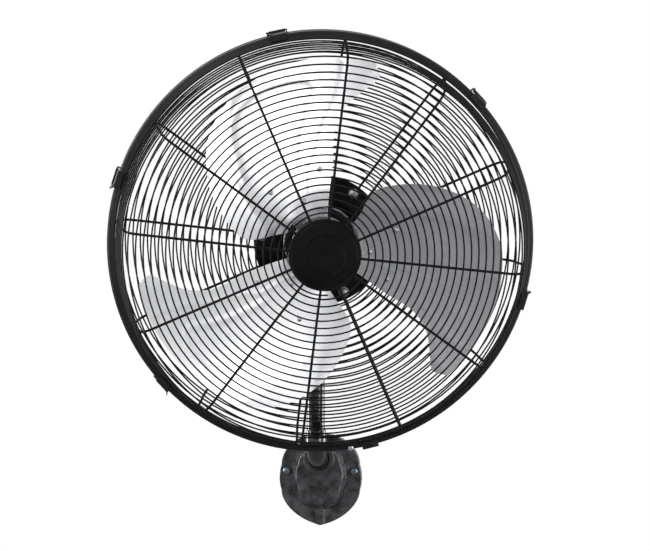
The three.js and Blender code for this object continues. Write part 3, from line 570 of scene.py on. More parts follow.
@dataclass(frozen=True)
class Finish:
    """What every finish has: its name, its record slot and its plain shading values."""

    name: str
    slot: str
    colour: Colour
    roughness: float = 0.5

    def start(self) -> tuple[Tree, bpy.types.Node, bpy.types.Material]:
        """Starts the material with its shader.

        Returns:
            The material's tree, its Principled node and the material.
        """
        material = bpy.data.materials.new(self.name)
        material.use_nodes = True
        material.node_tree.nodes.clear()
        tree = Tree(material.node_tree)
        out = tree.add("ShaderNodeOutputMaterial")
        shader = tree.add("ShaderNodeBsdfPrincipled")
        material.node_tree.links.new(shader.outputs[0], out.inputs["Surface"])
        material.diffuse_color = opaque(self.colour)
        return tree, shader, material

    def effect(self, tree: Tree, effect: Effect, **values: float) -> bpy.types.Node:
        """Places a shared effect in the material with this finish's values."""
        node = tree.add("ShaderNodeGroup", node_tree=effect.group())
        for key, value in values.items():
            node.inputs[key.replace("_", " ")].default_value = value
        return node

    def bump(self, tree: Tree, shader: bpy.types.Node, height: bpy.types.NodeSocket, depth: float) -> None:
        """Puts a height on the shader's normal, `depth` millimetres deep."""
        node = tree.add("ShaderNodeBump", {"Height": height, "Distance": depth * MM, "Strength": 1.0})
        tree.tree.links.new(node.outputs[0], shader.inputs["Normal"])

    def material(self) -> bpy.types.Material:
        """Gives the finish's material and makes it the first time."""
        return bpy.data.materials.get(self.name) or self.make()

    def make(self) -> bpy.types.Material:
        """Builds the material. Each kind of finish has its own."""
        raise NotImplementedError


@dataclass(frozen=True)
class Enamel(Finish):
    """A black coat on metal or a moulding, from a smooth gloss to a coarse casting."""

    cloud: Colour = (0.03, 0.031, 0.034)
    cloud_scale: float = 20.0
    skin_scale: float = 900.0
    skin_depth: float = 0.02
    roughness_spread: float = 0.08
    coat: float = 0.0
    coat_roughness: float = 0.08
    wear: float = 0.0
    dust: float = 0.0
    turned: bool = False
    shine: float = 0.3

    def make(self) -> bpy.types.Material:
        """Builds a coat with clouds, a skin, rubbed edges and dust."""
        tree, shader, material = self.start()
        mottle = self.effect(tree, Effect.MOTTLE, Cloud_Scale=self.cloud_scale, Skin_Scale=self.skin_scale)
        clouds, skin = mottle.outputs["Clouds"], mottle.outputs["Skin"]
        if self.turned:
            marks = self.effect(tree, Effect.TURNED_MARKS, Fineness=900.0, Waver=1.5).outputs["Marks"]
            streaks = tree.ramp(marks, 0.35, 0.65, 0.0, 0.6)
            clouds = tree.math("ADD", tree.math("MULTIPLY", clouds, 0.4), streaks)
        colour = tree.blend(clouds, opaque(self.colour), opaque(self.cloud))
        low, high = self.roughness - self.roughness_spread, self.roughness + self.roughness_spread
        rough = tree.ramp(clouds, 0.0, 1.0, low, high)
        if self.dust:
            mask = self.effect(tree, Effect.SETTLED_DUST, Amount=self.dust).outputs["Mask"]
            colour = tree.blend(mask, colour, (0.33, 0.32, 0.30, 1.0))
            rough = tree.math("ADD", rough, tree.math("MULTIPLY", mask, 0.4), clamp=True)
        if self.wear:
            mask = self.effect(tree, Effect.EDGE_WEAR, Reach=self.wear).outputs["Mask"]
            colour = tree.blend(mask, colour, (0.30, 0.30, 0.31, 1.0))
        tree.tree.links.new(colour, shader.inputs["Base Color"])
        tree.tree.links.new(rough, shader.inputs["Roughness"])
        shader.inputs["Specular IOR Level"].default_value = self.shine
        shader.inputs["Coat Weight"].default_value = self.coat
        shader.inputs["Coat Roughness"].default_value = self.coat_roughness
        self.bump(tree, shader, skin, self.skin_depth)
        return material


@dataclass(frozen=True)
class SatinSheet(Finish):
    """Rolled aluminium sheet with a satin face."""

    shade: Colour = (0.62, 0.63, 0.65)
    roughness_spread: float = 0.06

    def make(self) -> bpy.types.Material:
        """Builds the sheet with rolling marks, soft clouds and a little dust."""
        tree, shader, material = self.start()
        rolled = self.effect(tree, Effect.ROLLED_MARKS, Fineness=1400.0, Length=22.0)
        marks = rolled.outputs["Marks"]
        broad = tree.math("MULTIPLY", rolled.outputs["Clouds"], 0.55)
        tone = tree.math("ADD", tree.math("MULTIPLY", marks, 0.45), broad)
        colour = tree.blend(tree.ramp(tone, 0.35, 0.65), opaque(self.shade), opaque(self.colour))
        dust = self.effect(tree, Effect.SETTLED_DUST, Amount=0.18).outputs["Mask"]
        colour = tree.blend(dust, colour, (0.5, 0.49, 0.47, 1.0))
        low, high = self.roughness - self.roughness_spread, self.roughness + self.roughness_spread
        tree.tree.links.new(colour, shader.inputs["Base Color"])
        tree.tree.links.new(tree.ramp(marks, 0.3, 0.7, low, high), shader.inputs["Roughness"])
        shader.inputs["Metallic"].default_value = 1.0
        self.bump(tree, shader, marks, 0.004)
        return material


@dataclass(frozen=True)
class BareMetal(Finish):
    """Plated or machined metal, with fine marks and faint clouds."""

    shade: Colour = (0.45, 0.46, 0.48)
    turned: bool = False
    depth: float = 0.006

    def make(self) -> bpy.types.Material:
        """Builds the metal with marks that run round it or clouds all over it."""
        tree, shader, material = self.start()
        mottle = self.effect(tree, Effect.MOTTLE, Cloud_Scale=70.0, Skin_Scale=1500.0)
        height = mottle.outputs["Skin"]
        if self.turned:
            height = self.effect(tree, Effect.TURNED_MARKS, Fineness=1500.0, Waver=3.0).outputs["Marks"]
        colour = tree.blend(mottle.outputs["Clouds"], opaque(self.shade), opaque(self.colour))
        wear = self.effect(tree, Effect.EDGE_WEAR, Reach=0.6).outputs["Mask"]
        colour = tree.blend(wear, colour, (0.85, 0.85, 0.86, 1.0))
        rough = tree.ramp(mottle.outputs["Clouds"], 0.0, 1.0, self.roughness - 0.06, self.roughness + 0.06)
        tree.tree.links.new(colour, shader.inputs["Base Color"])
        tree.tree.links.new(rough, shader.inputs["Roughness"])
        shader.inputs["Metallic"].default_value = 1.0
        self.bump(tree, shader, height, self.depth)
        return material


@dataclass(frozen=True)
class Ink(Finish):
    """A flat printed mark, such as the numbers of a dial."""

    def make(self) -> bpy.types.Material:
        """Builds the print with a faintly uneven cover."""
        tree, shader, material = self.start()
        mottle = self.effect(tree, Effect.MOTTLE, Cloud_Scale=300.0, Skin_Scale=2500.0)
        colour = tree.blend(mottle.outputs["Clouds"], opaque(self.colour), (0.5, 0.5, 0.5, 1.0))
        tree.tree.links.new(colour, shader.inputs["Base Color"])
        shader.inputs["Roughness"].default_value = self.roughness
        return material


CAST_BLACK = Enamel("cast_black_coat", "cast_black", (0.001, 0.001, 0.0013), 0.34,
                    cloud=(0.075, 0.075, 0.082), cloud_scale=58.0, skin_scale=520.0,
                    skin_depth=0.42, roughness_spread=0.1, coat=0.15,
                    coat_roughness=0.2, wear=0.5, dust=0.02, shine=0.18)
TUBE_BLACK = Enamel("tube_gloss_black", "tube_black", (0.004, 0.0042, 0.005), 0.12,
                    cloud=(0.008, 0.0085, 0.01), cloud_scale=30.0, skin_scale=260.0,
                    skin_depth=0.008, roughness_spread=0.03, coat=0.4,
                    coat_roughness=0.06, shine=0.45)
WIRE_BLACK = Enamel("wire_black_coat", "wire_black", (0.004, 0.004, 0.0048), 0.4,
                    cloud=(0.008, 0.008, 0.009), cloud_scale=60.0, skin_scale=1200.0,
                    skin_depth=0.02, dust=0.02, shine=0.08)
BAND_BLACK = Enamel("band_black_enamel", "band_black", (0.004, 0.0041, 0.0046), 0.38,
                    cloud=(0.014, 0.0142, 0.0155), cloud_scale=22.0, skin_scale=700.0, skin_depth=0.04,
                    wear=0.2, dust=0.02, turned=True, shine=0.14)
MOTOR_BLACK = Enamel("motor_satin_black", "motor_black", (0.006, 0.0062, 0.007), 0.42,
                     cloud=(0.013, 0.0135, 0.015),
                     cloud_scale=40.0, skin_scale=900.0, skin_depth=0.03, wear=0.25, dust=0.06, shine=0.2)
CAP_BLACK = Enamel("cap_black_moulding", "cap_black", (0.0042, 0.0040, 0.0042), 0.22,
                   cloud=(0.0065, 0.0063, 0.0066),
                   cloud_scale=35.0, skin_scale=1600.0, skin_depth=0.004, roughness_spread=0.04, shine=0.05)
KNOB_BLACK = Enamel("knob_matt_black", "knob_black", (0.010, 0.010, 0.010), 0.5,
                    cloud=(0.016, 0.016, 0.016),
                    cloud_scale=60.0, skin_scale=1400.0, skin_depth=0.05, wear=0.2, dust=0.05, shine=0.25)
GREY_PLASTIC = Enamel("grey_moulded_case", "grey_plastic", (0.2, 0.2, 0.21), 0.5, cloud=(0.24, 0.24, 0.25),
                      skin_depth=0.03)
BLADE_SHEET = SatinSheet("satin_aluminium_sheet", "blade_aluminium", (0.80, 0.805, 0.82), 0.34,
                         shade=(0.69, 0.70, 0.72))
# Real domed aluminium rivet heads, coloured darker than the blade sheet as painted shade round their domes.
SHADED_RIVET_HEAD = BareMetal("shaded_rivet_aluminium", "blade_aluminium", (0.5, 0.51, 0.53), 0.34,
                       shade=(0.36, 0.37, 0.39))
ZINC = BareMetal("bright_zinc_plate", "zinc", (0.62, 0.63, 0.66), 0.26, shade=(0.42, 0.43, 0.47))
# Painted shade: a darker copy of the zinc plate, for the guard bolts that sit in shade behind the blades.
SHADED_ZINC = BareMetal("shaded_zinc_plate", "zinc", (0.36, 0.37, 0.39), 0.3, shade=(0.18, 0.19, 0.21))
BLUED_ZINC = BareMetal("blue_passivated_zinc", "zinc", (0.20, 0.26, 0.30), 0.3, shade=(0.07, 0.10, 0.12))
STEEL = BareMetal("machined_steel", "steel", (0.42, 0.43, 0.45), 0.32, shade=(0.3, 0.31, 0.33), turned=True)
COPPER = BareMetal("wound_copper", "copper", (0.62, 0.28, 0.13), 0.35, shade=(0.42, 0.17, 0.07),
                   turned=True, depth=0.2)
LAMINATION = BareMetal("stacked_laminations", "lamination", (0.2, 0.21, 0.22), 0.45,
                       shade=(0.1, 0.105, 0.11),
                       turned=True, depth=0.1)
DIAL_INK = Ink("dial_ink", "knob_black", (0.62, 0.62, 0.6), 0.5)


# ---- Making the pieces -------------------------------------------------------------------------------


@dataclass(frozen=True)
class Post:
    """Where a sub-assembly's pieces belong: the body they ride on and the coordinates they are drawn in."""

    body: str
    carrier: Carrier

    def piece(self, name: str, form: Form, finish: Finish, nodes: Sequence[str] = (), crease: float = 34.0,
              bevel: float = 0.0) -> bpy.types.Object:
        """Makes a piece of a form.

        Args:
            name: The piece's name.
            form: Its form, in millimetres.
            finish: Its finish.
            nodes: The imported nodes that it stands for.
            crease: The angle in degrees above which an edge stays sharp.
            bevel: The width in millimetres of the rounding of its sharp edges, 0 for none.

        Returns:
            The piece, riding on its body.
        """
        mesh = bpy.data.meshes.new(name)
        place = self.carrier.placement()
        mesh.from_pydata([tuple(place @ (p * MM)) for p in form.points], [], form.faces)
        work = bmesh.new()
        work.from_mesh(mesh)
        bmesh.ops.recalc_face_normals(work, faces=work.faces)
        work.to_mesh(mesh)
        work.free()
        mesh.shade_smooth()
        if not bevel:
            mesh.set_sharp_from_angle(angle=math.radians(crease))
        mesh.materials.append(finish.material())
        piece = bpy.data.objects.new(name, mesh)
        bpy.context.scene.collection.objects.link(piece)
        if bevel:
            rounding = piece.modifiers.new("rounding", "BEVEL")
            rounding.width = bevel * MM
            rounding.segments = 3
            rounding.limit_method = "ANGLE"
            rounding.angle_limit = math.radians(crease)
            rounding.harden_normals = True
        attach(piece, self.body)
        if nodes:
            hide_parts(*nodes)
        log.info("piece %s rides on %s", name, self.body)
        return piece


# ---- Wall plate and arm ------------------------------------------------------------------------------


@dataclass
class WallPlate:
    """The cast plate on the wall, its stepped boss, the cable arch and the two screws."""

    half_width: float = 54.6
    top: float = 33.0
    shoulder: float = -11.0
    flank_end: float = -46.0
    foot: float = -94.5
    deep: float = 14.0
    wall: float = 4.0
    boss_half: float = 28.5
    boss_top: float = 14.0
    boss_shoulder: float = -8.0
    boss_foot: float = -64.0
    boss_front: float = 32.0
    hollow_end: float = 24.0
    draft: float = 7.3
    arch_r: float = 10.6
    arch_bore: float = 8.0
    arch_back: float = 6.0
    arch_from: float = -62.0
    screws: tuple[Spot, Spot] = ((-46.8, -19.0), (46.8, -19.0))
    centre: Spot = (0.0, -22.0)
    around: int = 288
    post: Post = Post("bracket", Carrier.WALL)

    def plate_edge(self) -> list[Spot]:
        """Gives the plate's tombstone outline with its softly pointed foot."""
        half = self.half_width
        spots = [(half, self.flank_end), (half, self.shoulder)]
        spots += [(x, self.shoulder + z) for x, z in half_oval(half, self.top - self.shoulder, 60)]
        spots += [(-half, self.shoulder), (-half, self.flank_end)]
        low, high = self.foot, self.flank_end
        pulls = [(-half, high), (-half, high - 22), (-half * 0.48, low + 4), (0.0, low)]
        left = [self.bezier(pulls, i / 40) for i in range(1, 41)]
        return spots + left + [(-x, z) for x, z in reversed(left[:-1])]

    @staticmethod
    def bezier(pulls: Sequence[Spot], t: float) -> Spot:
        """Gives a spot on a cubic curve."""
        a, b, c, d = (Vector(p) for p in pulls)
        spot = a * (1 - t) ** 3 + b * 3 * t * (1 - t) ** 2 + c * 3 * t * t * (1 - t) + d * t**3
        return spot.x, spot.y

    def boss_edge(self) -> list[Spot]:
        """Gives the outline of the boss's front."""
        half, shoulder, turn_at = self.boss_half, self.boss_shoulder, self.boss_foot + 26
        spots = [(half, turn_at), (half, shoulder)]
        spots += [(x, shoulder + z) for x, z in half_oval(half, self.boss_top - shoulder, 60)]
        spots += [(-half, shoulder), (-half, turn_at)]
        for i in range(1, 40):
            t = i / 20
            start, end, side = ((-half, turn_at), (0.0, self.boss_foot), -half) if t <= 1 else (
                (0.0, self.boss_foot), (half, turn_at), half)
            t = t if t <= 1 else t - 1
            pull = Vector((side, self.boss_foot))
            spot = Vector(start) * (1 - t) ** 2 + pull * 2 * t * (1 - t) + Vector(end) * t * t
            spots.append((spot.x, spot.y))
        return spots

    def reach(self, edge: Sequence[Spot]) -> np.ndarray:
        """Gives how far an outline lies from the plate's middle, for each angle around it."""
        offsets = np.array(edge) - np.array(self.centre)
        turns = np.arctan2(offsets[:, 0], offsets[:, 1])
        order = np.argsort(turns)
        wanted = np.linspace(-math.pi, math.pi, self.around, endpoint=False)
        return np.interp(wanted, turns[order], np.hypot(*offsets.T)[order], period=2 * math.pi)

    def ring(self, reach: np.ndarray, ahead: float, front: bool = True) -> list[Vector]:
        """Gives one ring of the plate's skin, lifted over the cable arch."""
        turns = np.linspace(-math.pi, math.pi, self.around, endpoint=False)
        points = []
        for turn, r in zip(turns, reach):
            x, z = self.centre[0] + r * math.sin(turn), self.centre[1] + r * math.cos(turn)
            y = ahead
            if z < self.arch_from + 4:
                ease = smoothstep(-z, -self.arch_from - 4, -self.arch_from + 6)
                if front and abs(x) < self.arch_r:
                    over = self.arch_back + math.sqrt(self.arch_r**2 - x * x)
                    y = max(y, mix(self.deep, over, ease)) if y > self.deep - 3 else y
                if not front and z < -80 and abs(x) < self.arch_bore:
                    y = max(y, self.arch_back + math.sqrt(self.arch_bore**2 - x * x))
            points.append(Vector((x, -y, z)))
        return points

    def plate(self) -> Form:
        """Gives the whole casting, with the hollow that its back has."""
        edge, boss = self.reach(self.plate_edge()), self.reach(self.boss_edge())
        foot = boss + self.draft
        rings = [self.ring(edge - self.wall, self.deep - self.wall, front=False),
                 self.ring(edge - self.wall, 0.0, front=False), self.ring(edge - 0.4, 0.0, front=False),
                 self.ring(edge, 0.5, front=False)]
        corner = ((0.0, 6.0), (0.0, 12.2), (0.25, 13.0), (0.8, 13.7), (1.7, 14.0))
        rings += [self.ring(edge - inset, ahead) for inset, ahead in corner]
        for share in np.linspace(0.06, 1.0, 14):
            rings.append(self.ring(mix(edge - 1.7, foot + 1.4, share), self.deep))
        steps = ((0.6, 14.2), (0.0, 14.9), (-0.5, 16.0), (-2.1, 20.6), (-2.5, 21.3), (-3.2, 21.7),
                 (-4.3, 21.9), (-4.8, 22.4), (-5.0, 23.2), (-6.6, 29.8), (-7.0, 30.9), (-7.7, 31.6),
                 (-8.8, 32.0))
        rings += [self.ring(foot + grow, ahead) for grow, ahead in steps]
        for share in (0.8, 0.6, 0.4, 0.2, 0.02):
            rings.append(self.ring(boss * share, self.boss_front))
        skin = loft(rings, caps=False)
        front = Form(rings[-1], [tuple(range(self.around))])
        hollow = [self.ring(edge - self.wall, self.deep - self.wall, front=False)]
        hollow += [self.ring(boss - 2, self.deep - self.wall, front=False),
                   self.ring(boss - 5, self.hollow_end, front=False),
                   self.ring(boss * 0.02, self.hollow_end, front=False)]
        socket = peg(20, 0, 30, 64, 0.5)
        pads = [hoop(2.6, 6.4, 0, 12, 0.3, 32).moved(shifted(x, 0, z)) for x, z in self.screws]
        return gathered([skin, front, loft(hollow, caps=False), socket, *pads])

    def collar(self) -> Form:
        """Gives the collar that the arm comes out of."""
        outline = [(14.3, 26), (21.5, 26), (21.5, 36), (20.6, 37), (14.9, 37), (14.3, 36.4)]
        return lathe(rounded(outline, 0.8), 96)

    def screw(self, x: float, z: float) -> Form:
        """Gives a screw with a domed head and a cross recess."""
        face, around = self.deep + 0.3, 64
        spots = [(5.4, face), (5.4, face + 0.9), (5.15, face + 1.6), (4.6, face + 2.35), (3.8, face + 2.9)]
        spots += [(3.3 - 0.3 * i, face + 3.15 + 0.02 * i) for i in range(11)]
        points = []
        for r, ahead in spots:
            for i in range(around):
                spot = at_clock(max(r, 0.02), 360 * i / around, ahead)
                thin = min(abs(spot.x), abs(spot.z))
                long = max(abs(spot.x), abs(spot.z))
                sunk = 1.7 * (1 - smoothstep(thin, 0.35, 0.75)) * (1 - smoothstep(long, 2.5, 3.1))
                points.append(spot + Vector((0, sunk, 0)))
        rings = [points[k * around:(k + 1) * around] for k in range(len(spots))]
        shank = lathe([(0, 0.6), (2.3, 0.6), (2.3, face), (5.4, face)], around, closed=False)
        return loft(rings, caps=False).plus(shank).moved(shifted(x, 0, z))

    def build(self) -> None:
        """Makes the plate, its collar and its screws."""
        self.post.piece("cast_wall_plate", self.plate(), CAST_BLACK, ["wall_plate"], crease=40)
        self.post.piece("socket_collar", self.collar(), CAST_BLACK)
        for side, (x, z) in zip(("left", "right"), self.screws):
            self.post.piece(f"wall_screw_{side}", self.screw(x, z), BLUED_ZINC, [f"plate_screw_{side}"])


@dataclass
class BentArm:
    """The gloss tube that comes out of the plate, bends upward and holds the thinner post."""

    tube_r: float = 14.0
    bend: float = 34.0
    reach: float = 72.0
    mouth: float = 45.0
    post_r: float = 12.0
    post_top: float = 195.7
    post: Post = Post("bracket", Carrier.WALL)

    def tube(self) -> Form:
        """Gives the bent tube with a turned lip at its mouth."""
        path = [Vector((0, -y, 0)) for y in (5.5, 20, 34)]
        for i in range(33):
            lean = math.pi / 2 * i / 32
            path.append(Vector((0, self.bend - self.reach - self.bend * math.sin(lean),
                                self.bend - self.bend * math.cos(lean))))
        path.append(Vector((0, -self.reach, self.mouth - 3)))
        lip = [(12.3, 36), (12.3, 44.4), (12.7, 45), (13.3, 45), (13.8, 44.6), (14, 43.8), (14, 41)]
        mouth = lathe(lip, 64, closed=False).moved(shifted(0, -self.reach, 0), UPRIGHT)
        return wire(path, self.tube_r, 64, domed=False).plus(mouth)

    def upright(self) -> Form:
        """Gives the post that the head turns on."""
        outline = [(10, 35), (12, 35), (12, self.post_top - 0.8), (11.3, self.post_top), (10, self.post_top)]
        return lathe(rounded(outline, 0.3), 64).moved(shifted(0, -self.reach, 0), UPRIGHT)

    def build(self) -> None:
        """Makes both tubes."""
        self.post.piece("bent_tube", self.tube(), TUBE_BLACK, ["arm_elbow"])
        self.post.piece("post_tube", self.upright(), TUBE_BLACK, ["arm_post"])


# ---- Swivel neck and its knobs -----------------------------------------------------------------------


@dataclass
class SwivelNeck:
    """The casting that turns on the post, with the tilt bolt, its washers and both hand knobs."""

    reach: float = 72.0
    sleeve_r: float = 19.0
    low: float = 150.0
    top: float = 205.0
    pivot: float = 231.2
    cheek_in: float = 11.6
    cheek_out: float = 17.0
    eye_r: float = 14.0
    pan_screw: float = 172.0
    post: Post = Post("swivel", Carrier.NECK)

    def casting(self) -> Form:
        """Gives the sleeve, the two cheeks and the screw's boss."""
        r, bore, roof = self.sleeve_r, 12.3, 196
        sleeve = [(bore, self.low), (r - 1.4, self.low), (r, self.low + 2), (r, self.low + 9),
                  (r - 0.8, self.low + 10.5), (r - 0.8, self.top - 9), (r, self.top - 7), (r, self.top),
                  (0, self.top), (0, roof), (bore, roof)]
        body = lathe(rounded(sleeve, 0.9), 72).moved(shifted(0, -self.reach, 0), UPRIGHT)
        outline = [(-r + 5, roof + 2), (r - 5, roof + 2), (self.eye_r, self.pivot - 4)]
        outline += [(x, self.pivot + z) for x, z in half_oval(self.eye_r, self.eye_r, 24)]
        outline.append((-self.eye_r, self.pivot - 4))
        cheeks = [slab(outline, near, far).moved(shifted(0, -self.reach, 0), RIGHTWARD)
                  for near, far in ((self.cheek_in, self.cheek_out), (-self.cheek_out, -self.cheek_in))]
        boss = lathe([(0, 13.5), (7.5, 13.5), (7.5, 23.2), (6.7, 24), (0, 24)], 40, closed=False)
        boss = boss.moved(shifted(0, -self.reach, self.pan_screw), BACKWARD)
        return gathered([body, *cheeks, boss])

    def bolt(self) -> Form:
        """Gives the tilt bolt with its six-sided head."""
        place = shifted(0, -self.reach, self.pivot)
        return peg(4, -20, 27).plus(slab(hexagon(7.5), -22.8, -17.3)).moved(place, RIGHTWARD)

    def washer(self, side: int) -> Form:
        """Gives a washer beside the motor's lug."""
        turned = RIGHTWARD if side > 0 else LEFTWARD
        return hoop(4.3, 9.5, 10.3, 11.3, 0.25, 48).moved(shifted(0, -self.reach, self.pivot), turned)

    @staticmethod
    def star_knob() -> Form:
        """Gives a hand knob with five lobes, opening backwards along its screw."""
        rows = ((8.2, 0.0, 0.0), (8.2, 0.0, 4.4), (9.6, 2.2, 5.0), (11.0, 2.5, 5.6), (11.4, 2.6, 6.6),
                (11.4, 2.6, 10.6), (11.0, 2.5, 11.7), (10.2, 2.2, 12.5), (8.6, 1.6, 13.1), (5.5, 0.7, 13.4),
                (4.6, 0.2, 12.9), (0.4, 0.0, 12.7))
        return loft([star_ring(r, 5, lobe, h) for r, lobe, h in rows])

    def build(self) -> None:
        """Makes the neck, its bolt and washers, and the knobs on their own bodies."""
        self.post.piece("neck_casting", self.casting(), CAST_BLACK, ["swivel_neck"], crease=35, bevel=0.7)
        self.post.piece("tilt_bolt_zinc", self.bolt(), ZINC, ["tilt_bolt"], bevel=0.35)
        self.post.piece("washer_left", self.washer(-1), ZINC, ["tilt_washer_left"])
        self.post.piece("washer_right", self.washer(1), ZINC, ["tilt_washer_right"])
        stud = peg(3, 12.3, 32, 32, 0.3).moved(shifted(0, -self.reach, self.pan_screw), BACKWARD)
        self.post.piece("pan_stud", stud, ZINC, ["pan_screw"])
        tilt = self.star_knob().moved(shifted(self.cheek_out + 0.3, -self.reach, self.pivot), RIGHTWARD)
        Post("tilt_hand_knob", Carrier.NECK).piece("tilt_star_knob", tilt, KNOB_BLACK, ["tilt_knob"])
        pan = self.star_knob().moved(shifted(0, 24.3 - self.reach, self.pan_screw), BACKWARD)
        Post("pan_hand_knob", Carrier.NECK).piece("pan_star_knob", pan, KNOB_BLACK, ["pan_knob"])


# ---- Motor -------------------------------------------------------------------------------------------


@dataclass
class Motor:
    """The closed motor behind the guard: its shells, lug, bolts, cable inlet and speed knob."""

    r: float = 70.0
    nose_r: float = 49.0
    nose: float = -12.0
    face: float = -27.5
    split: float = -78.0
    back: float = -122.0
    bolt_r: float = 77.0
    bolt_phase: float = 35.0
    knob_below: float = 38.0
    vents: int = 18
    vent_deep: float = 2.4
    number_size: float = 4.2
    number_high: float = 0.05
    number_r: float = 24.5
    post: Post = Post("head", Carrier.HEAD)

    def bell(self) -> Form:
        """Gives the front shell with its stepped nose and three bolt ears."""
        outline = [(6.5, self.nose), (20, self.nose), (21.5, self.nose - 1.2), (38, self.nose - 1.2),
                   (39.5, self.nose), (self.nose_r - 2, self.nose), (self.nose_r, self.nose - 3),
                   (self.nose_r, self.face), (self.r - 4, self.face), (self.r, self.face - 5),
                   (self.r, self.split + 4), (self.r + 1.2, self.split + 3), (self.r + 1.2, self.split + 0.3),
                   (self.r - 3, self.split + 0.3), (self.r - 3, self.face - 3), (6.5, self.face - 3)]
        shell = lathe(rounded(outline, 1.2), 144)
        ear = peg(9.5, self.face - 6, self.face, 32, 0.6)
        return shell.plus(*(ear.moved(self.bolt_place(i)) for i in range(3)))

    def bolt_place(self, i: int) -> Matrix:
        """Gives the place of one of the three guard bolts."""
        spot = at_clock(self.bolt_r, self.bolt_phase + 120 * i, 0)
        return Matrix.Translation(spot)

    def cover(self) -> Form:
        """Gives the rear shell, with cooling slots sunk round its dome and a pad for the speed knob."""
        back = self.back
        spots = [(0, back)] + [(40 * k / 8, back + 1.0 * (k / 8) ** 2) for k in range(1, 9)]
        spots += smooth_curve([(40, back + 1), (57, back + 6), (67, back + 16), (self.r, back + 26)], 8)[1:]
        spots += [(self.r, self.split - 5), (self.r + 1.2, self.split - 4), (self.r + 1.2, self.split - 0.3),
                  (self.r - 3, self.split - 0.3)]
        around, rings = 216, []
        for r, ahead in spots:
            ring = []
            for i in range(around):
                turn = 360 * i / around
                spot = at_clock(max(r, 0.05), turn, ahead)
                share = (turn * self.vents / 360 + 0.5) % 1 - 0.5
                across = abs(share) * 2 * math.pi * r / self.vents
                inside = (1 - smoothstep(across, 1.9, 3.1)) * smoothstep(r, 55, 57)
                inside *= 0.0 if 115 < turn < 245 else 1 - smoothstep(ahead, -84, -82)
                if r > 66:
                    spot = at_clock(r - self.vent_deep * inside, turn, ahead)
                else:
                    spot.y -= self.vent_deep * inside
                ring.append(spot)
            rings.append(ring)
        shell = loft(rings, caps=False)
        pad = peg(17, back + 4, back - 2, 72, 0.5).moved(shifted(0, 0, -self.knob_below))
        seam = hoop(self.r - 4, self.r + 0.4, self.split - 0.6, self.split + 0.6, 0.2, 144)
        return shell.plus(pad, seam)

    def lug(self) -> Form:
        """Gives the eye that hangs on the tilt bolt."""
        drop, eye = 87.0, 13.5
        outline = [(eye, -drop + 2), (eye + 5, -67.0), (eye + 1, -60.0), (-eye + 1, -62.0), (-eye, -drop + 2)]
        outline += [(x, -drop + z) for x, z in half_oval(eye, eye, 24, lower=True)]
        return slab(outline, -10, 10).moved(shifted(0, 97, 0), LEFTWARD)

    def bolt(self, i: int) -> Form:
        """Gives a domed guard bolt on its washer."""
        face = -25 + 0.3
        dome = [(0, 5), (2.2, 4.85), (4.2, 4.2), (5.6, 3.1), (6.2, 1.6), (6.2, 1)]
        washer = [(6.9, 0.9), (7.0, 0.2), (6.9, 0), (0, 0)]
        head = lathe([(r, face + ahead) for r, ahead in dome + washer], 48)
        return head.plus(peg(3, self.face - 5, face, 24)).moved(self.bolt_place(i))

    def inlet(self) -> Form:
        """Gives the cable inlet: a six-sided nut, a turned cap and an open bore."""
        cap = [(3.4, 62), (6, 62), (6, 70.4), (9.3, 70.6), (9.3, 74.4), (8.4, 75), (8.0, 79), (7.2, 81.4),
               (6.2, 82), (3.8, 82), (3.4, 81.4)]
        whole = slab(hexagon(9.6), 70.6, 74.6).plus(lathe(cap, 48))
        return whole.moved(shifted(0, 89, 0), round_the_clock(-40), RIGHTWARD)

    def speed_knob(self) -> Form:
        """Gives the pointer knob: a skirt, a ribbed barrel and a grip bar."""
        rows = ((3.0, 0.0, -9.0), (3.0, 0.0, 0.0), (13.6, 0.0, 0.0), (14.0, 0.0, 0.5), (14.0, 0.0, 2.6),
                (13.6, 0.0, 3.2), (11.7, 0.25, 3.8), (11.2, 0.3, 5.0), (10.6, 0.3, 12.4), (9.8, 0.2, 13.6),
                (8.6, 0.0, 14.0), (0.3, 0.0, 14.0))
        barrel = loft([star_ring(r, 24, lobe, h, 192) for r, lobe, h in rows])
        bar = slab(rounded([(-2, -10.5), (2, -10.5), (2, 10.5), (-2, 10.5)], 1.5), 4, 14.0)
        return barrel.plus(bar).moved(shifted(0, 124.3, -self.knob_below), BACKWARD)

    def dial_number(self, number: int, turn: float) -> None:
        """Prints a number beside the knob, at a clock angle seen from behind."""
        curve = bpy.data.curves.new(f"dial_number_{number}", "FONT")
        curve.body = str(number)
        curve.size, curve.extrude = self.number_size * MM, self.number_high * MM
        curve.align_x, curve.align_y = "CENTER", "CENTER"
        drawn = bpy.data.objects.new(f"dial_text_{number}", curve)
        bpy.context.scene.collection.objects.link(drawn)
        bpy.context.view_layer.update()
        mesh = bpy.data.meshes.new_from_object(drawn.evaluated_get(bpy.context.evaluated_depsgraph_get()))
        bpy.data.objects.remove(drawn)
        mesh.materials.clear()
        mesh.materials.append(DIAL_INK.material())
        spin = math.radians(turn)
        x, z = -self.number_r * math.sin(spin), self.number_r * math.cos(spin) - self.knob_below
        spot = shifted(x * MM, -self.back * MM - 0.4 * MM, z * MM)
        facing = Matrix.Rotation(math.pi, 4, "Z") @ Matrix.Rotation(math.pi / 2, 4, "X")
        mesh.transform(self.post.carrier.placement() @ spot @ facing)
        piece = bpy.data.objects.new(f"dial_number_{number}", mesh)
        bpy.context.scene.collection.objects.link(piece)
        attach(piece, self.post.body)

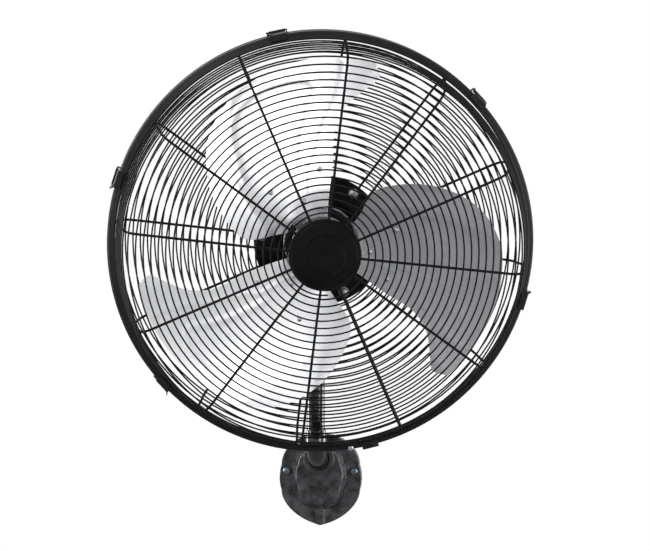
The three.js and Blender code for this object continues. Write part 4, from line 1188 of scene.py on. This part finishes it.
    def build(self) -> None:
        """Makes the motor's outside and prints the numbers of its dial."""
        self.post.piece("motor_front_shell", self.bell(), MOTOR_BLACK, ["motor_bell"])
        # Painted highlight: a thin bright zinc ring on the nose's edge stands in for the highlight along the
        # rim of the black bell.
        r, nose = self.nose_r, self.nose
        ring = [(r - 2.2, nose - 0.6), (r - 2.2, nose + 0.5), (r - 0.6, nose + 0.7), (r + 0.4, nose - 0.6),
                (r + 0.4, nose - 2.6)]
        self.post.piece("nose_ring_painted_highlight", lathe(rounded(ring, 0.3), 128), ZINC)
        self.post.piece("motor_rear_shell", self.cover(), MOTOR_BLACK, ["motor_rear_cover"], crease=50)
        self.post.piece("tilt_lug_casting", self.lug(), CAST_BLACK, ["tilt_lug"], bevel=1.0)
        for i in range(3):
            # The guard bolts take the darker zinc, which is painted shade for the place they sit in.
            self.post.piece(f"guard_bolt_{i + 1}", self.bolt(i), SHADED_ZINC, [f"motor_bolt_{i + 1}"])
        self.post.piece("cable_inlet", self.inlet(), KNOB_BLACK, ["cable_gland"], bevel=0.3)
        Post("speed_dial", Carrier.HEAD).piece("pointer_knob", self.speed_knob(), KNOB_BLACK, ["speed_knob"])
        for number in range(4):
            self.dial_number(number, 45.0 * number)


# ---- Wire guards -------------------------------------------------------------------------------------


@dataclass
class Profile:
    """The line of (radius, ahead) that a guard's ribs follow, with its length and outward normals."""

    spots: list[Spot]
    lengths: list[float] = field(default_factory=list)

    def __post_init__(self) -> None:
        """Counts the length up to each spot."""
        self.lengths = [0.0]
        for a, b in zip(self.spots, self.spots[1:]):
            self.lengths.append(self.lengths[-1] + math.dist(a, b))

    def place(self, along: float) -> Spot:
        """Gives the spot at a length along the profile."""
        return (float(np.interp(along, self.lengths, [s[0] for s in self.spots])),
                float(np.interp(along, self.lengths, [s[1] for s in self.spots])))

    def lifted(self, along: float, lift: float) -> Spot:
        """Gives the spot that lies `lift` off the profile, on its outer side."""
        a, b = self.place(max(along - 1.5, 0)), self.place(min(along + 1.5, self.lengths[-1]))
        run, rise = b[0] - a[0], b[1] - a[1]
        size = math.hypot(run, rise)
        r, ahead = self.place(along)
        return r - rise / size * lift, ahead + run / size * lift


@dataclass
class WireGuard:
    """A guard of ribs, a hoop and one long wound wire, welded where they cross."""

    name: str
    profile: Profile
    phase: float
    wound_from: float
    turns: float
    close: float
    side: int
    start: float
    hoop_ahead: float
    rib_r: float = 1.7
    ring_r: float = 1.1
    pitch: float = 9.52
    ribs: int = 12
    hoop_r: float = 274.0
    hoop_wire: float = 3.0
    post: Post = Post("head", Carrier.HEAD)

    def along(self, turn: float) -> float:
        """Gives how far along the profile the wound wire is after some turns."""
        return self.wound_from + self.close * min(turn, 1.0) + self.pitch * max(turn - 1.0, 0.0)

    def frame(self) -> Form:
        """Gives the ribs and the hoop."""
        total = self.profile.lengths[-1]
        stations = np.linspace(0, total, 64)
        forms = []
        for i in range(self.ribs):
            angle = self.phase + 360 / self.ribs * i
            forms.append(wire([at_clock(*self.polar(s, 0.0, angle)) for s in stations], self.rib_r, 12))
        hoop = [at_clock(self.hoop_r, 360 * k / 240, self.hoop_ahead) for k in range(240)]
        forms.append(wire(hoop, self.hoop_wire * 0.8, 12, looped=True))
        return gathered(forms)

    def polar(self, along: float, lift: float, angle: float) -> tuple[float, float, float]:
        """Gives radius, angle and distance ahead of a spot off the profile."""
        r, ahead = self.profile.lifted(along, lift)
        return r, angle, ahead

    def lift(self) -> float:
        """Gives how far the wound wire lies off the ribs' middle line."""
        return self.side * (self.rib_r + self.ring_r - 0.35)

    def wound_wire(self) -> Form:
        """Gives the one long wire that winds outwards over the ribs."""
        path: list[Vector] = []
        turn = 0.0
        while turn <= self.turns:
            along = self.along(turn)
            path.append(at_clock(*self.polar(along, self.lift(), self.start + 360 * turn)))
            turn += 1 / (110 * math.sqrt(self.profile.place(along)[0] / self.hoop_r))
        return wire(path, self.ring_r, 8)

    def welds(self) -> Form:
        """Gives the small flattened welds where the wound wire crosses the ribs."""
        forms = []
        first = (self.phase - self.start) / 360
        step = 1 / self.ribs
        turn = first + step * math.ceil(-first / step)
        bead = lathe([(0, 0.75), (0.7, 0.65), (1.3, 0.25), (1.5, -0.4), (0, -0.4)], 8, closed=False)
        while turn <= self.turns:
            lift = self.side * self.rib_r * 0.8
            spot = at_clock(*self.polar(self.along(turn), lift, self.start + 360 * turn))
            out = at_clock(*self.polar(self.along(turn), lift + self.side, self.start + 360 * turn)) - spot
            turned = out.to_track_quat("-Y", "Z").to_matrix().to_4x4()
            forms.append(bead.moved(Matrix.Translation(spot), turned))
            turn += step
        return gathered(forms)

    def build(self) -> None:
        """Makes the guard's frame and its wound wire with the welds."""
        forms = [self.frame(), *self.extras()]
        self.post.piece(f"{self.name}_ribs", gathered(forms), WIRE_BLACK, [f"{self.name}_guard_frame"])
        self.post.piece(f"{self.name}_wound_wire", self.wound_wire().plus(self.welds()), WIRE_BLACK,
                        [f"{self.name}_guard_spiral"])

    def extras(self) -> list[Form]:
        """Gives what else belongs to the guard's frame."""
        return []


@dataclass
class FrontGuard(WireGuard):
    """The front guard, whose ribs end under the medallion."""

    def extras(self) -> list[Form]:
        """Gives the disc that the ribs are welded to."""
        return [peg(45, 81.5, 84, 96, 0.5)]


@dataclass
class RearGuard(WireGuard):
    """The rear guard, whose ribs end on the pressed plate round the motor's nose."""

    def extras(self) -> list[Form]:
        """Gives the pressed plate with its two raised beads and a turned-in bore."""
        front, back = -25.0, -27.2
        outline = [(50, back), (50, front), (54, front), (56, front + 1.4), (60, front + 1.4), (62, front),
                   (82, front), (84, front + 1), (86.5, front + 1), (88, front - 0.4), (88, back)]
        return [lathe(rounded(outline, 0.7), 180)]


def front_guard() -> FrontGuard:
    """Gives the front guard with its nearly flat face, tight shoulder and deep side."""
    side = smooth_curve([(238, 79.1), (245, 78.6), (251, 76.9), (255.6, 73.3), (258.8, 68), (260.6, 61)], 6)
    spots = [(40.0, 85.2)] + side + [(269.6, 11.5), (272.8, 5.5)]
    return FrontGuard("front", Profile(spots), 6.3, 12.7, 27.5, 5.4, 1, 176.0, 5.5, pitch=9.65)


def rear_guard() -> RearGuard:
    """Gives the shallow rear guard."""
    side = smooth_curve([(240, -29), (249, -28.7), (256, -27.2), (261, -24), (263.8, -19.6), (265, -15)], 6)
    spots = [(86.8, -27.3)] + side + [(272.8, -4.5)]
    return RearGuard("rear", Profile(spots), 6.3, 7.0, 19.8, 7.0, -1, 95.0, -4.5)


@dataclass
class Medallion:
    """The moulded cap in the middle of the front guard."""

    r: float = 47.5
    back: float = 87.0
    front: float = 90.4
    ring_r: float = 26.7
    post: Post = Post("head", Carrier.HEAD)

    def cap(self) -> Form:
        """Gives the cap: a sunk middle, a raised field, a chamfer ring and a rolled rim."""
        front, r, ring = self.front, self.r, self.ring_r
        face = [(0, 0.8), (ring - 1.6, 0.9), (ring - 0.7, 1.3), (ring, 0.1), (ring + 0.9, 0), (r - 9.5, 0.5),
                (r - 5.2, 1.1), (r - 4.2, 1.9), (r - 3.4, 1.2), (r - 1.6, 1.3), (r - 0.5, 2.0), (r, 3.0)]
        outline = [(reach, front - sunk) for reach, sunk in face]
        outline += [(r, self.back), (r - 2, self.back), (r - 2, front - 3.4), (0, front - 3.4)]
        return lathe(rounded(outline, 0.45), 192)

    def build(self) -> None:
        """Makes the cap and its fixing pin."""
        pin = peg(4, 83.8, 87.5)
        self.post.piece("medallion_cap", self.cap().plus(pin), CAP_BLACK, ["front_medallion"], crease=60)


# ---- Rim band and clips ------------------------------------------------------------------------------


@dataclass
class RimBand:
    """The rolled band that joins both guards, its lever clips and the screwed safety clip."""

    outer: float = 282.4
    inner: float = 271.5
    front: float = 11.2
    rear: float = -19.0
    wall: float = 2.2
    rear_lip: float = 277.0
    clip_wide: float = 22.0
    clip_thick: float = 1.4
    clip_angles: tuple[float, ...] = (348.0, 47.0, 106.0, 228.0, 288.0)
    safety_angle: float = 166.0
    joint_angle: float = 171.4
    hinge_r: float = 285.6
    hinge: float = -15.0
    post: Post = Post("head", Carrier.HEAD)

    def band(self) -> Form:
        """Gives the band: two beads in its front lip, a rounded shoulder and a faint swage in its wall."""
        o, i, f, b = self.outer, self.inner, self.front, self.rear
        beads = [(0, 2.4), (0, 1.0), (0.8, 0.2), (2.0, 0), (3.9, 0.8), (4.3, 1.4), (4.9, 1.4), (7.2, 2.4),
                 (7.6, 3.0), (8.2, 3.0)]
        outline = [(i + reach, f - sunk) for reach, sunk in beads]
        outline += [(o - 0.7, f - 4.3), (o, f - 5.4), (o, f - 9.0), (o - 0.5, f - 9.8), (o - 0.5, b + 8.6),
                    (o, b + 7.8), (o, b + 1.5), (o - 1.5, b), (self.rear_lip, b),
                    (self.rear_lip, b + self.wall), (o - self.wall, b + self.wall), (o - self.wall, f - 2.4)]
        return lathe(rounded(outline, 0.8), 320)

    def strap(self, spots: Sequence[Spot]) -> Form:
        """Gives a strip bent to a line of (radius, ahead), at the top of the rim."""
        half = self.clip_wide / 2
        rings = [[Vector((x, -ahead, r)) for r, ahead in spots] for x in (-half, half)]
        return loft(rings)

    def clip(self) -> Form:
        """Gives a lever clip: a strap with a crowned back, a hooked nose, a knuckle and a finger tail."""
        low = self.outer + 0.5
        high, front = low + self.clip_thick, self.front + 0.4
        spots = [(self.inner + 4, front), (low, front), (low, self.hinge), (high + 1.0, self.hinge),
                 (high, self.hinge + 5), (high + 0.4, -2.0), (high, 6.0),
                 (high, front + self.clip_thick - 0.9), (high - 1.2, front + self.clip_thick),
                 (self.inner + 4, front + self.clip_thick)]
        knuckle, pin = (turned.moved(shifted(0, -self.hinge, self.hinge_r), RIGHTWARD)
                        for turned in (peg(1.7, -11, 11, 24, 0.3), peg(1.0, -13.4, 13.4, 16)))
        tail = [(-8, low), (-10.4, low), (-12.4, low + 1.4), (-15.0, low + 4.7), (-14.1, low + 5.6),
                (-12, low + 3.0), (-6, high + 0.3)]
        return gathered([self.strap(spots), knuckle, slab(tail, -4, 7), pin])

    def ears(self) -> Form:
        """Gives the two lugs on the band that hold each clip's knuckle."""
        outline = [(-3.2, -3), (3.2, -3), (3.2, 0.6), (1.5, 2.4), (-1.5, 2.4), (-3.2, 0.6)]
        forms = []
        for angle in self.clip_angles:
            for side in (-1, 1):
                x = side * (self.clip_wide / 2 + 1.8)
                ear = slab(outline, -0.8, 0.8).moved(RIGHTWARD)
                forms.append(ear.moved(round_the_clock(angle), shifted(x, -self.hinge, self.outer + 2)))
        return gathered(forms)

    def safety_clip(self) -> Form:
        """Gives the clip that is screwed over both lips of the band."""
        low = self.outer + 0.5
        high, front, back = low + self.clip_thick, self.front + 0.4, self.rear - 0.4
        thick = self.clip_thick
        spots = [(self.inner + 2, front), (low, front), (low, back), (self.rear_lip + 1, back),
                 (self.rear_lip + 1, back - thick), (high, back - thick), (high, front + thick),
                 (self.inner + 2, front + thick)]
        return self.strap(spots).moved(round_the_clock(self.safety_angle))

    def build(self) -> None:
        """Makes the band, the clips on their own bodies, the safety clip and its screw."""
        self.post.piece("rolled_band", self.band(), BAND_BLACK, ["rim_band"], crease=50)
        self.post.piece("clip_ears", self.ears(), BAND_BLACK, bevel=0.4)
        for i, angle in enumerate(self.clip_angles, start=1):
            place = Post(f"clip_{i}", Carrier.HEAD)
            form = self.clip().moved(round_the_clock(angle))
            place.piece(f"lever_clip_{i}", form, BAND_BLACK, [f"guard_clip_{i}"], bevel=0.4)
        self.post.piece("screwed_clip", self.safety_clip(), BAND_BLACK, ["safety_clip"], bevel=0.4)
        face = self.front + 0.4 + self.clip_thick + 0.3
        head = [(0, -1.4), (1.5, -1.4), (1.5, 0), (4, 0), (4, 0.8), (3.5, 1.9), (2.2, 2.5), (0, 2.6)]
        head = [(r, face + ahead) for r, ahead in head]
        screw = lathe(rounded(head, 0.3, closed=False), 40, closed=False)
        clip = screw.moved(round_the_clock(self.safety_angle), shifted(0, 0, self.inner + 6.5))
        self.post.piece("clip_screw_head", clip, BAND_BLACK, ["clip_screw"])
        lowered = shifted(0, self.clip_thick + 1.2, self.outer - 3.4)
        self.post.piece("band_joint_screw", screw.moved(round_the_clock(self.joint_angle), lowered), ZINC)


# ---- Blades and hub ----------------------------------------------------------------------------------


@dataclass
class Propeller:
    """Three pressed blades riveted to a spider on the motor's shaft."""

    plane: float = 22.0
    root: float = 50.0
    lead_tip: float = 249.0
    thick: float = 1.6
    root_pitch: float = 25.0
    tip_pitch: float = 16.5
    camber: float = 0.05
    angles: tuple[float, ...] = (FIRST_BLADE, 98.0, 218.0)
    trailing: tuple[Spot, ...] = ((50, -46), (84, -57), (106, -58), (130, -51), (179, -35.5), (214, -22),
                                  (234, -9))
    leading: tuple[Spot, ...] = ((50, 31), (107, 30), (150, 28.5), (185, 32), (213, 38), (232, 41),
                                 (249, 38.5))
    horseshoe: tuple[Spot, ...] = ((108, 7), (124, 9), (150, 12), (176, 15.6), (200, 18.6), (213, 19),
                                   (221, 15), (223, 8), (223, -1), (217, -8), (206, -13), (190, -17),
                                   (168, -21), (140, -26.5))
    front_crease: tuple[Spot, ...] = ((53, 4), (72, 9), (104, 13), (112, 15.6), (120, 18.3), (140, 20.6),
                                      (168, 24), (191, 27), (216, 28.4), (243, 28.6))
    rear_crease: tuple[Spot, ...] = ((96, -21.5), (112, -18.5), (140, -13), (163, -10.8), (197, -8.2),
                                     (224, -7.6), (247, -5.5))
    rivets: tuple[Spot, ...] = ((100, 20.5), (100, -21), (64, 0))
    disc: float = 40.0
    spider_thick: float = 2.5
    spider_reach: float = 112.0
    spider_drop: float = 2.77
    bore: float = 5.3
    rows: int = 84
    columns: int = 72
    post: Post = Post("rotor", Carrier.HEAD)

    def rise(self, r: float, angle: float) -> float:
        """Gives how far ahead of the rotor's plane the sheet lies."""
        reach = min(max((r - self.root) / (self.lead_tip - self.root), 0.0), 1.0)
        trail, lead = -52 + 47 * reach, 30 + 9 * reach
        chord = math.radians(lead - trail) * r / 2
        offset = math.radians(angle - (lead + trail) / 2) * r
        pitch = math.tan(math.radians(mix(self.root_pitch, self.tip_pitch, reach**0.7)))
        hollow = 2 * chord * self.camber * max(0.0, 1 - (offset / chord) ** 2)
        return smoothstep(r, 28, 74) * (-pitch * offset - hollow)

    @property
    def spider_front(self) -> float:
        """Gives how far ahead the spider's front lies."""
        return self.plane - self.spider_drop + self.spider_thick / 2

    @staticmethod
    def flat(spots: Iterable[Spot]) -> np.ndarray:
        """Gives (radius, degrees) spots as flat coordinates."""
        pairs = np.array(list(spots), float)
        turns = np.radians(pairs[:, 1])
        return np.stack([pairs[:, 0] * np.sin(turns), pairs[:, 0] * np.cos(turns)], axis=1)

    @staticmethod
    def distance(spots: np.ndarray, line: np.ndarray) -> np.ndarray:
        """Gives each spot's distance from a line of straight bits."""
        best = np.full(len(spots), 1e9)
        for a, b in zip(line, line[1:]):
            run = b - a
            share = np.clip(((spots - a) @ run) / (run @ run), 0, 1)
            best = np.minimum(best, np.linalg.norm(spots - (a + share[:, None] * run), axis=1))
        return best

    def embossing(self, spots: list[Spot]) -> np.ndarray:
        """Gives the pressed lift of each spot: the horseshoe, both creases and the flats round the rivets."""
        flat = self.flat(spots)
        lift = np.zeros(len(flat))
        pressed = ((self.horseshoe, 0.75, 7.0), (self.front_crease, 0.65, 4.0), (self.rear_crease, 0.25, 3.5))
        for line, height, wide in pressed:
            curve = self.flat(smooth_curve(line, 8))
            share = np.clip(self.distance(flat, curve) / wide, 0, 1)
            lift = np.maximum(lift, height * np.cos(share * math.pi / 2) ** 2)
        for spot in self.flat(self.rivets):
            near = np.clip((np.linalg.norm(flat - spot, axis=1) - 5) / 5, 0, 1)
            lift *= near
        return lift

    def sheet(self, spots: list[list[Spot]], lifts: np.ndarray, thick: float, drop: float) -> Form:
        """Gives a pressed sheet over a grid of (radius, degrees)."""
        rows, columns = len(spots), len(spots[0])
        sides = []
        for side in (0.5, -0.5):
            grid = []
            for k, (r, angle) in enumerate(spot for row in spots for spot in row):
                ahead = self.plane + self.rise(r, angle) + float(lifts[k]) - drop + side * thick
                grid.append(at_clock(r, angle, ahead))
            sides.append(grid)
        off = rows * columns
        faces: list[tuple[int, ...]] = []
        for i in range(rows - 1):
            for j in range(columns - 1):
                a = i * columns + j
                faces.append((a, a + 1, a + columns + 1, a + columns))
                faces.append((off + a, off + a + columns, off + a + columns + 1, off + a + 1))
        border = list(range(columns)) + [i * columns + columns - 1 for i in range(1, rows)]
        border += [(rows - 1) * columns + j for j in range(columns - 2, -1, -1)]
        border += [i * columns for i in range(rows - 2, 0, -1)]
        for a, b in zip(border, border[1:] + border[:1]):
            faces.append((a, off + a, off + b, b))
        return Form(sides[0] + sides[1], faces)

    def blade(self) -> Form:
        """Gives one blade at the top of the clock."""
        grid: list[list[Spot]] = []
        for i in range(self.rows):
            u = i / (self.rows - 1)
            trail, lead = along_curve(self.trailing, u), along_curve(self.leading, u)
            row = []
            for j in range(self.columns):
                v = j / (self.columns - 1)
                r = mix(trail[0], lead[0], v) + 16 * u**4 * v * (1 - v)
                row.append((r, mix(trail[1], lead[1], v)))
            grid.append(row)
        lifts = self.embossing([spot for row in grid for spot in row])
        return self.sheet(grid, lifts, self.thick, 0.0)

    def rivet_heads(self) -> Form:
        """Gives the three domed rivets of a blade."""
        dome = [(0, 2.7), (1.3, 2.55), (2.5, 2.0), (3.4, 1.1), (3.8, 0.2), (3.8, -0.6), (0, -0.6)]
        head = lathe(dome, 28, closed=False)
        forms = []
        for r, angle in self.rivets:
            ahead = self.plane + self.rise(r, angle) + self.thick / 2
            climb = self.rise(r, angle + 1) - self.rise(r, angle - 1)
            tip = Matrix.Rotation(-math.atan(climb / (math.radians(2) * r)), 4, "Z")
            forms.append(head.moved(round_the_clock(angle), shifted(0, -ahead, r), tip))
        return gathered(forms)

    def spider(self) -> Form:
        """Gives the spider: a disc and three arms under the blades."""
        front = self.spider_front
        forms = [hoop(12.3, self.disc, front - self.spider_thick, front, 0.4, 96)]
        rows, columns = 24, 17
        grid = []
        for k in range(rows):
            share = k / (rows - 1)
            narrow = 1.0 if k < 20 else 1 - 0.2 * ((k - 19) / 4) ** 2
            half = mix(34.0, 24.0, share) * narrow
            r = mix(26.0, self.spider_reach, share)
            grid.append([(r, half * (2 * j / (columns - 1) - 1)) for j in range(columns)])
        arm = self.sheet(grid, np.zeros(rows * columns), self.spider_thick, self.spider_drop)
        return gathered(forms + [arm.moved(round_the_clock(turn)) for turn in self.angles])

    def hub(self) -> Form:
        """Gives the turned hub."""
        front = self.spider_front
        under, bore = front - self.spider_thick - 0.3, self.bore
        outline = [(bore, -8), (15, -8), (15, under - 5), (25, under - 4), (25, under), (12, under),
                   (12, front + 0.2), (bore, front + 0.2)]
        return lathe(rounded(outline, 0.5), 72)

    def nut(self) -> Form:
        """Gives the hub's nut with chamfered corners."""
        start, bore = self.spider_front + 2.4, self.bore
        section = ((8.4, 0), (9.2, 0.8), (9.2, 7.2), (8.4, 8), (bore, 8), (bore, 0))
        rings = [[at_clock(r, 60 * i, start + ahead) for i in range(6)] for r, ahead in section]
        return loft(rings, looped=True)

    def build(self) -> None:
        """Makes the blades with their rivets, the spider, the hub, its washer and its nut."""
        for i, angle in enumerate(self.angles, start=1):
            turned = round_the_clock(angle)
            blade = self.blade().moved(turned)
            self.post.piece(f"pressed_blade_{i}", blade, BLADE_SHEET, [f"blade_{i}"], crease=50)
            # The rivets take the darker aluminium, painted shade that sets them off the blades.
            self.post.piece(f"blade_rivets_{i}", self.rivet_heads().moved(turned), SHADED_RIVET_HEAD)
        self.post.piece("spider_plate", self.spider(), STEEL, ["blade_spider"])
        self.post.piece("turned_hub", self.hub(), STEEL, ["blade_hub"])
        start = self.spider_front + 0.5
        washer = hoop(self.bore, 17, start, start + 1.6, 0.3, 64)
        self.post.piece("hub_washer_ring", washer, ZINC, ["hub_washer"])
        self.post.piece("hub_lock_nut", self.nut(), ZINC, ["hub_nut"], bevel=0.3)


# ---- Carried-over nodes ------------------------------------------------------------------------------


@dataclass
class InnerWorks:
    """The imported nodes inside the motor, which keep their shape and get their finish here."""

    finishes: dict[str, Finish] = field(default_factory=lambda: {
        "stator_core": LAMINATION, "rotor_core": LAMINATION, "winding_front": COPPER, "winding_rear": COPPER,
        "front_bearing": STEEL, "rear_bearing": STEEL, "motor_shaft": STEEL, "run_capacitor": GREY_PLASTIC,
        "speed_switch": GREY_PLASTIC})

    def dress(self, nodes: dict[str, bpy.types.Object]) -> None:
        """Gives each inner node its finish."""
        for name, finish in self.finishes.items():
            slots = nodes[name].data.materials
            slots.clear()
            slots.append(finish.material())


# ---- Studio ------------------------------------------------------------------------------------------


@dataclass(frozen=True)
class Lamp:
    """A soft lamp: where it hangs and its width and height, in metres, and its power in watts."""

    name: str
    place: tuple[float, float, float]
    size: tuple[float, float]
    watts: float


LAMPS = (
    Lamp("key_lamp", (-1.2, -2.6, 2.2), (1.6, 1.6), 50.0),
    Lamp("left_lamp", (-2.6, -1.3, 0.5), (0.7, 1.6), 24.0),
    Lamp("low_right_lamp", (2.3, -2.0, -0.15), (1.3, 1.1), 27.0),
    Lamp("left_edge_strip", (-2.2, 0.9, 0.4), (0.6, 2.2), 60.0),
    Lamp("right_edge_strip", (2.3, 0.8, 0.4), (0.6, 2.2), 60.0),
)


@dataclass
class Studio:
    """The pale floor, the white surroundings, the soft lamps and the camera."""

    distance: float = 3.5
    azimuth: float = 5.6
    elevation: float = 3.0
    lens: float = 146.5
    sensor: float = 36.0
    rim_pixel: Spot = (320.9, 243.6)
    floor_height: float = -0.52
    lit_spot: tuple[float, float, float] = (0.0, -0.15, 0.28)
    surroundings: float = 0.55

    def camera(self) -> None:
        """Puts the camera where the middle of the rim falls on its own pixel."""
        a, e = math.radians(self.azimuth), math.radians(self.elevation)
        back = Vector((math.sin(a) * math.cos(e), -math.cos(a) * math.cos(e), math.sin(e)))
        right = Vector((math.cos(a), math.sin(a), 0))
        up = back.cross(right)
        rim = STANCE.head().translation
        pixel = self.distance * self.sensor / (self.lens * IMAGE_SIZE[0])
        target = rim + right * ((IMAGE_SIZE[0] / 2 - self.rim_pixel[0]) * pixel)
        target -= up * ((IMAGE_SIZE[1] / 2 - self.rim_pixel[1]) * pixel)
        data = bpy.data.cameras.new("portrait")
        data.lens, data.sensor_width = self.lens, self.sensor
        data.clip_start, data.clip_end = 0.1, 100
        camera = bpy.data.objects.new("portrait", data)
        bpy.context.scene.collection.objects.link(camera)
        camera.rotation_mode = "QUATERNION"
        camera.location = target + back * self.distance
        camera.rotation_quaternion = (-back).to_track_quat("-Z", "Y")
        bpy.context.scene.camera = camera

    def lamp(self, lamp: Lamp) -> None:
        """Hangs a soft lamp that looks at the fan."""
        data = bpy.data.lights.new(lamp.name, "AREA")
        data.shape, data.energy = "RECTANGLE", lamp.watts
        data.size, data.size_y = lamp.size
        hung = bpy.data.objects.new(lamp.name, data)
        bpy.context.scene.collection.objects.link(hung)
        hung.location = lamp.place
        hung.rotation_mode = "QUATERNION"
        hung.rotation_quaternion = (Vector(self.lit_spot) - Vector(lamp.place)).to_track_quat("-Z", "Y")

    def world(self) -> None:
        """Makes the surroundings white to the eye and in reflections, and gentler as a light."""
        world = bpy.data.worlds.new("white_studio")
        world.use_nodes = True
        world.node_tree.nodes.clear()
        tree = Tree(world.node_tree)
        out = tree.add("ShaderNodeOutputWorld")
        rays = tree.add("ShaderNodeLightPath").outputs
        seen = tree.math("ADD", rays["Is Camera Ray"], rays["Is Glossy Ray"], clamp=True)
        seen = tree.math("ADD", seen, rays["Is Transmission Ray"], clamp=True)
        strength = tree.math("ADD", tree.math("MULTIPLY", seen, 1.0 - self.surroundings), self.surroundings)
        glow = tree.add("ShaderNodeBackground", {"Color": (1.0, 1.0, 1.0, 1.0), "Strength": strength})
        tree.tree.links.new(glow.outputs[0], out.inputs["Surface"])
        bpy.context.scene.world = world

    def floor(self) -> None:
        """Makes the floor, well below the fan: pale to the eye, and darker where it lights the fan."""
        mesh = bpy.data.meshes.new("studio_floor")
        form = lathe([(0, 0), (0.9, 0), (1.6, 0), (2.2, 0)], 96, closed=False).moved(
            Matrix.Translation((0, -0.1, self.floor_height)), UPRIGHT)
        mesh.from_pydata([tuple(p) for p in form.points], [], form.faces)
        floor = bpy.data.objects.new("studio_floor", mesh)
        bpy.context.scene.collection.objects.link(floor)
        material = bpy.data.materials.new("pale_floor")
        material.use_nodes = True
        material.node_tree.nodes.clear()
        tree = Tree(material.node_tree)
        out = tree.add("ShaderNodeOutputMaterial")
        place = tree.add("ShaderNodeTexCoord").outputs["Object"]
        grain = tree.ramp(tree.noise(place, 6.0, 4.0), 0.3, 0.7)
        pale = tree.blend(grain, (0.86, 0.86, 0.86, 1.0), (0.9, 0.9, 0.9, 1.0))
        eye = tree.add("ShaderNodeLightPath").outputs["Is Camera Ray"]
        colour = tree.blend(eye, (0.3, 0.3, 0.31, 1.0), pale)
        matt = tree.add("ShaderNodeBsdfDiffuse", {"Color": colour})
        white = tree.add("ShaderNodeEmission", {"Color": (1, 1, 1, 1), "Strength": 1.0})
        far = tree.add("ShaderNodeVectorMath", {0: place}, operation="LENGTH").outputs["Value"]
        share = tree.ramp(far, 0.7, 2.0)
        seen = tree.math("MULTIPLY", share, eye)
        both = tree.add("ShaderNodeMixShader", {0: seen, 1: matt.outputs[0], 2: white.outputs[0]})
        tree.tree.links.new(both.outputs[0], out.inputs["Surface"])
        mesh.materials.append(material)

    def build(self) -> None:
        """Sets the whole studio up."""
        scene = bpy.context.scene
        scene.view_settings.view_transform = "Standard"
        self.camera()
        self.world()
        self.floor()
        for lamp in LAMPS:
            self.lamp(lamp)


# ---- The whole fan -----------------------------------------------------------------------------------


def main() -> None:
    """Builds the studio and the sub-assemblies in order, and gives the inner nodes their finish."""
    logging.basicConfig(level=logging.INFO, format="%(name)s: %(message)s")
    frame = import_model()
    Studio().build()
    parts = (WallPlate(), BentArm(), SwivelNeck(), Motor(), rear_guard(), front_guard(), Medallion(),
             RimBand(), Propeller())
    for part in parts:
        part.build()
        log.info("%s is built", type(part).__name__)
    InnerWorks().dress(frame["nodes"])


if __name__ == "__main__":
    main()
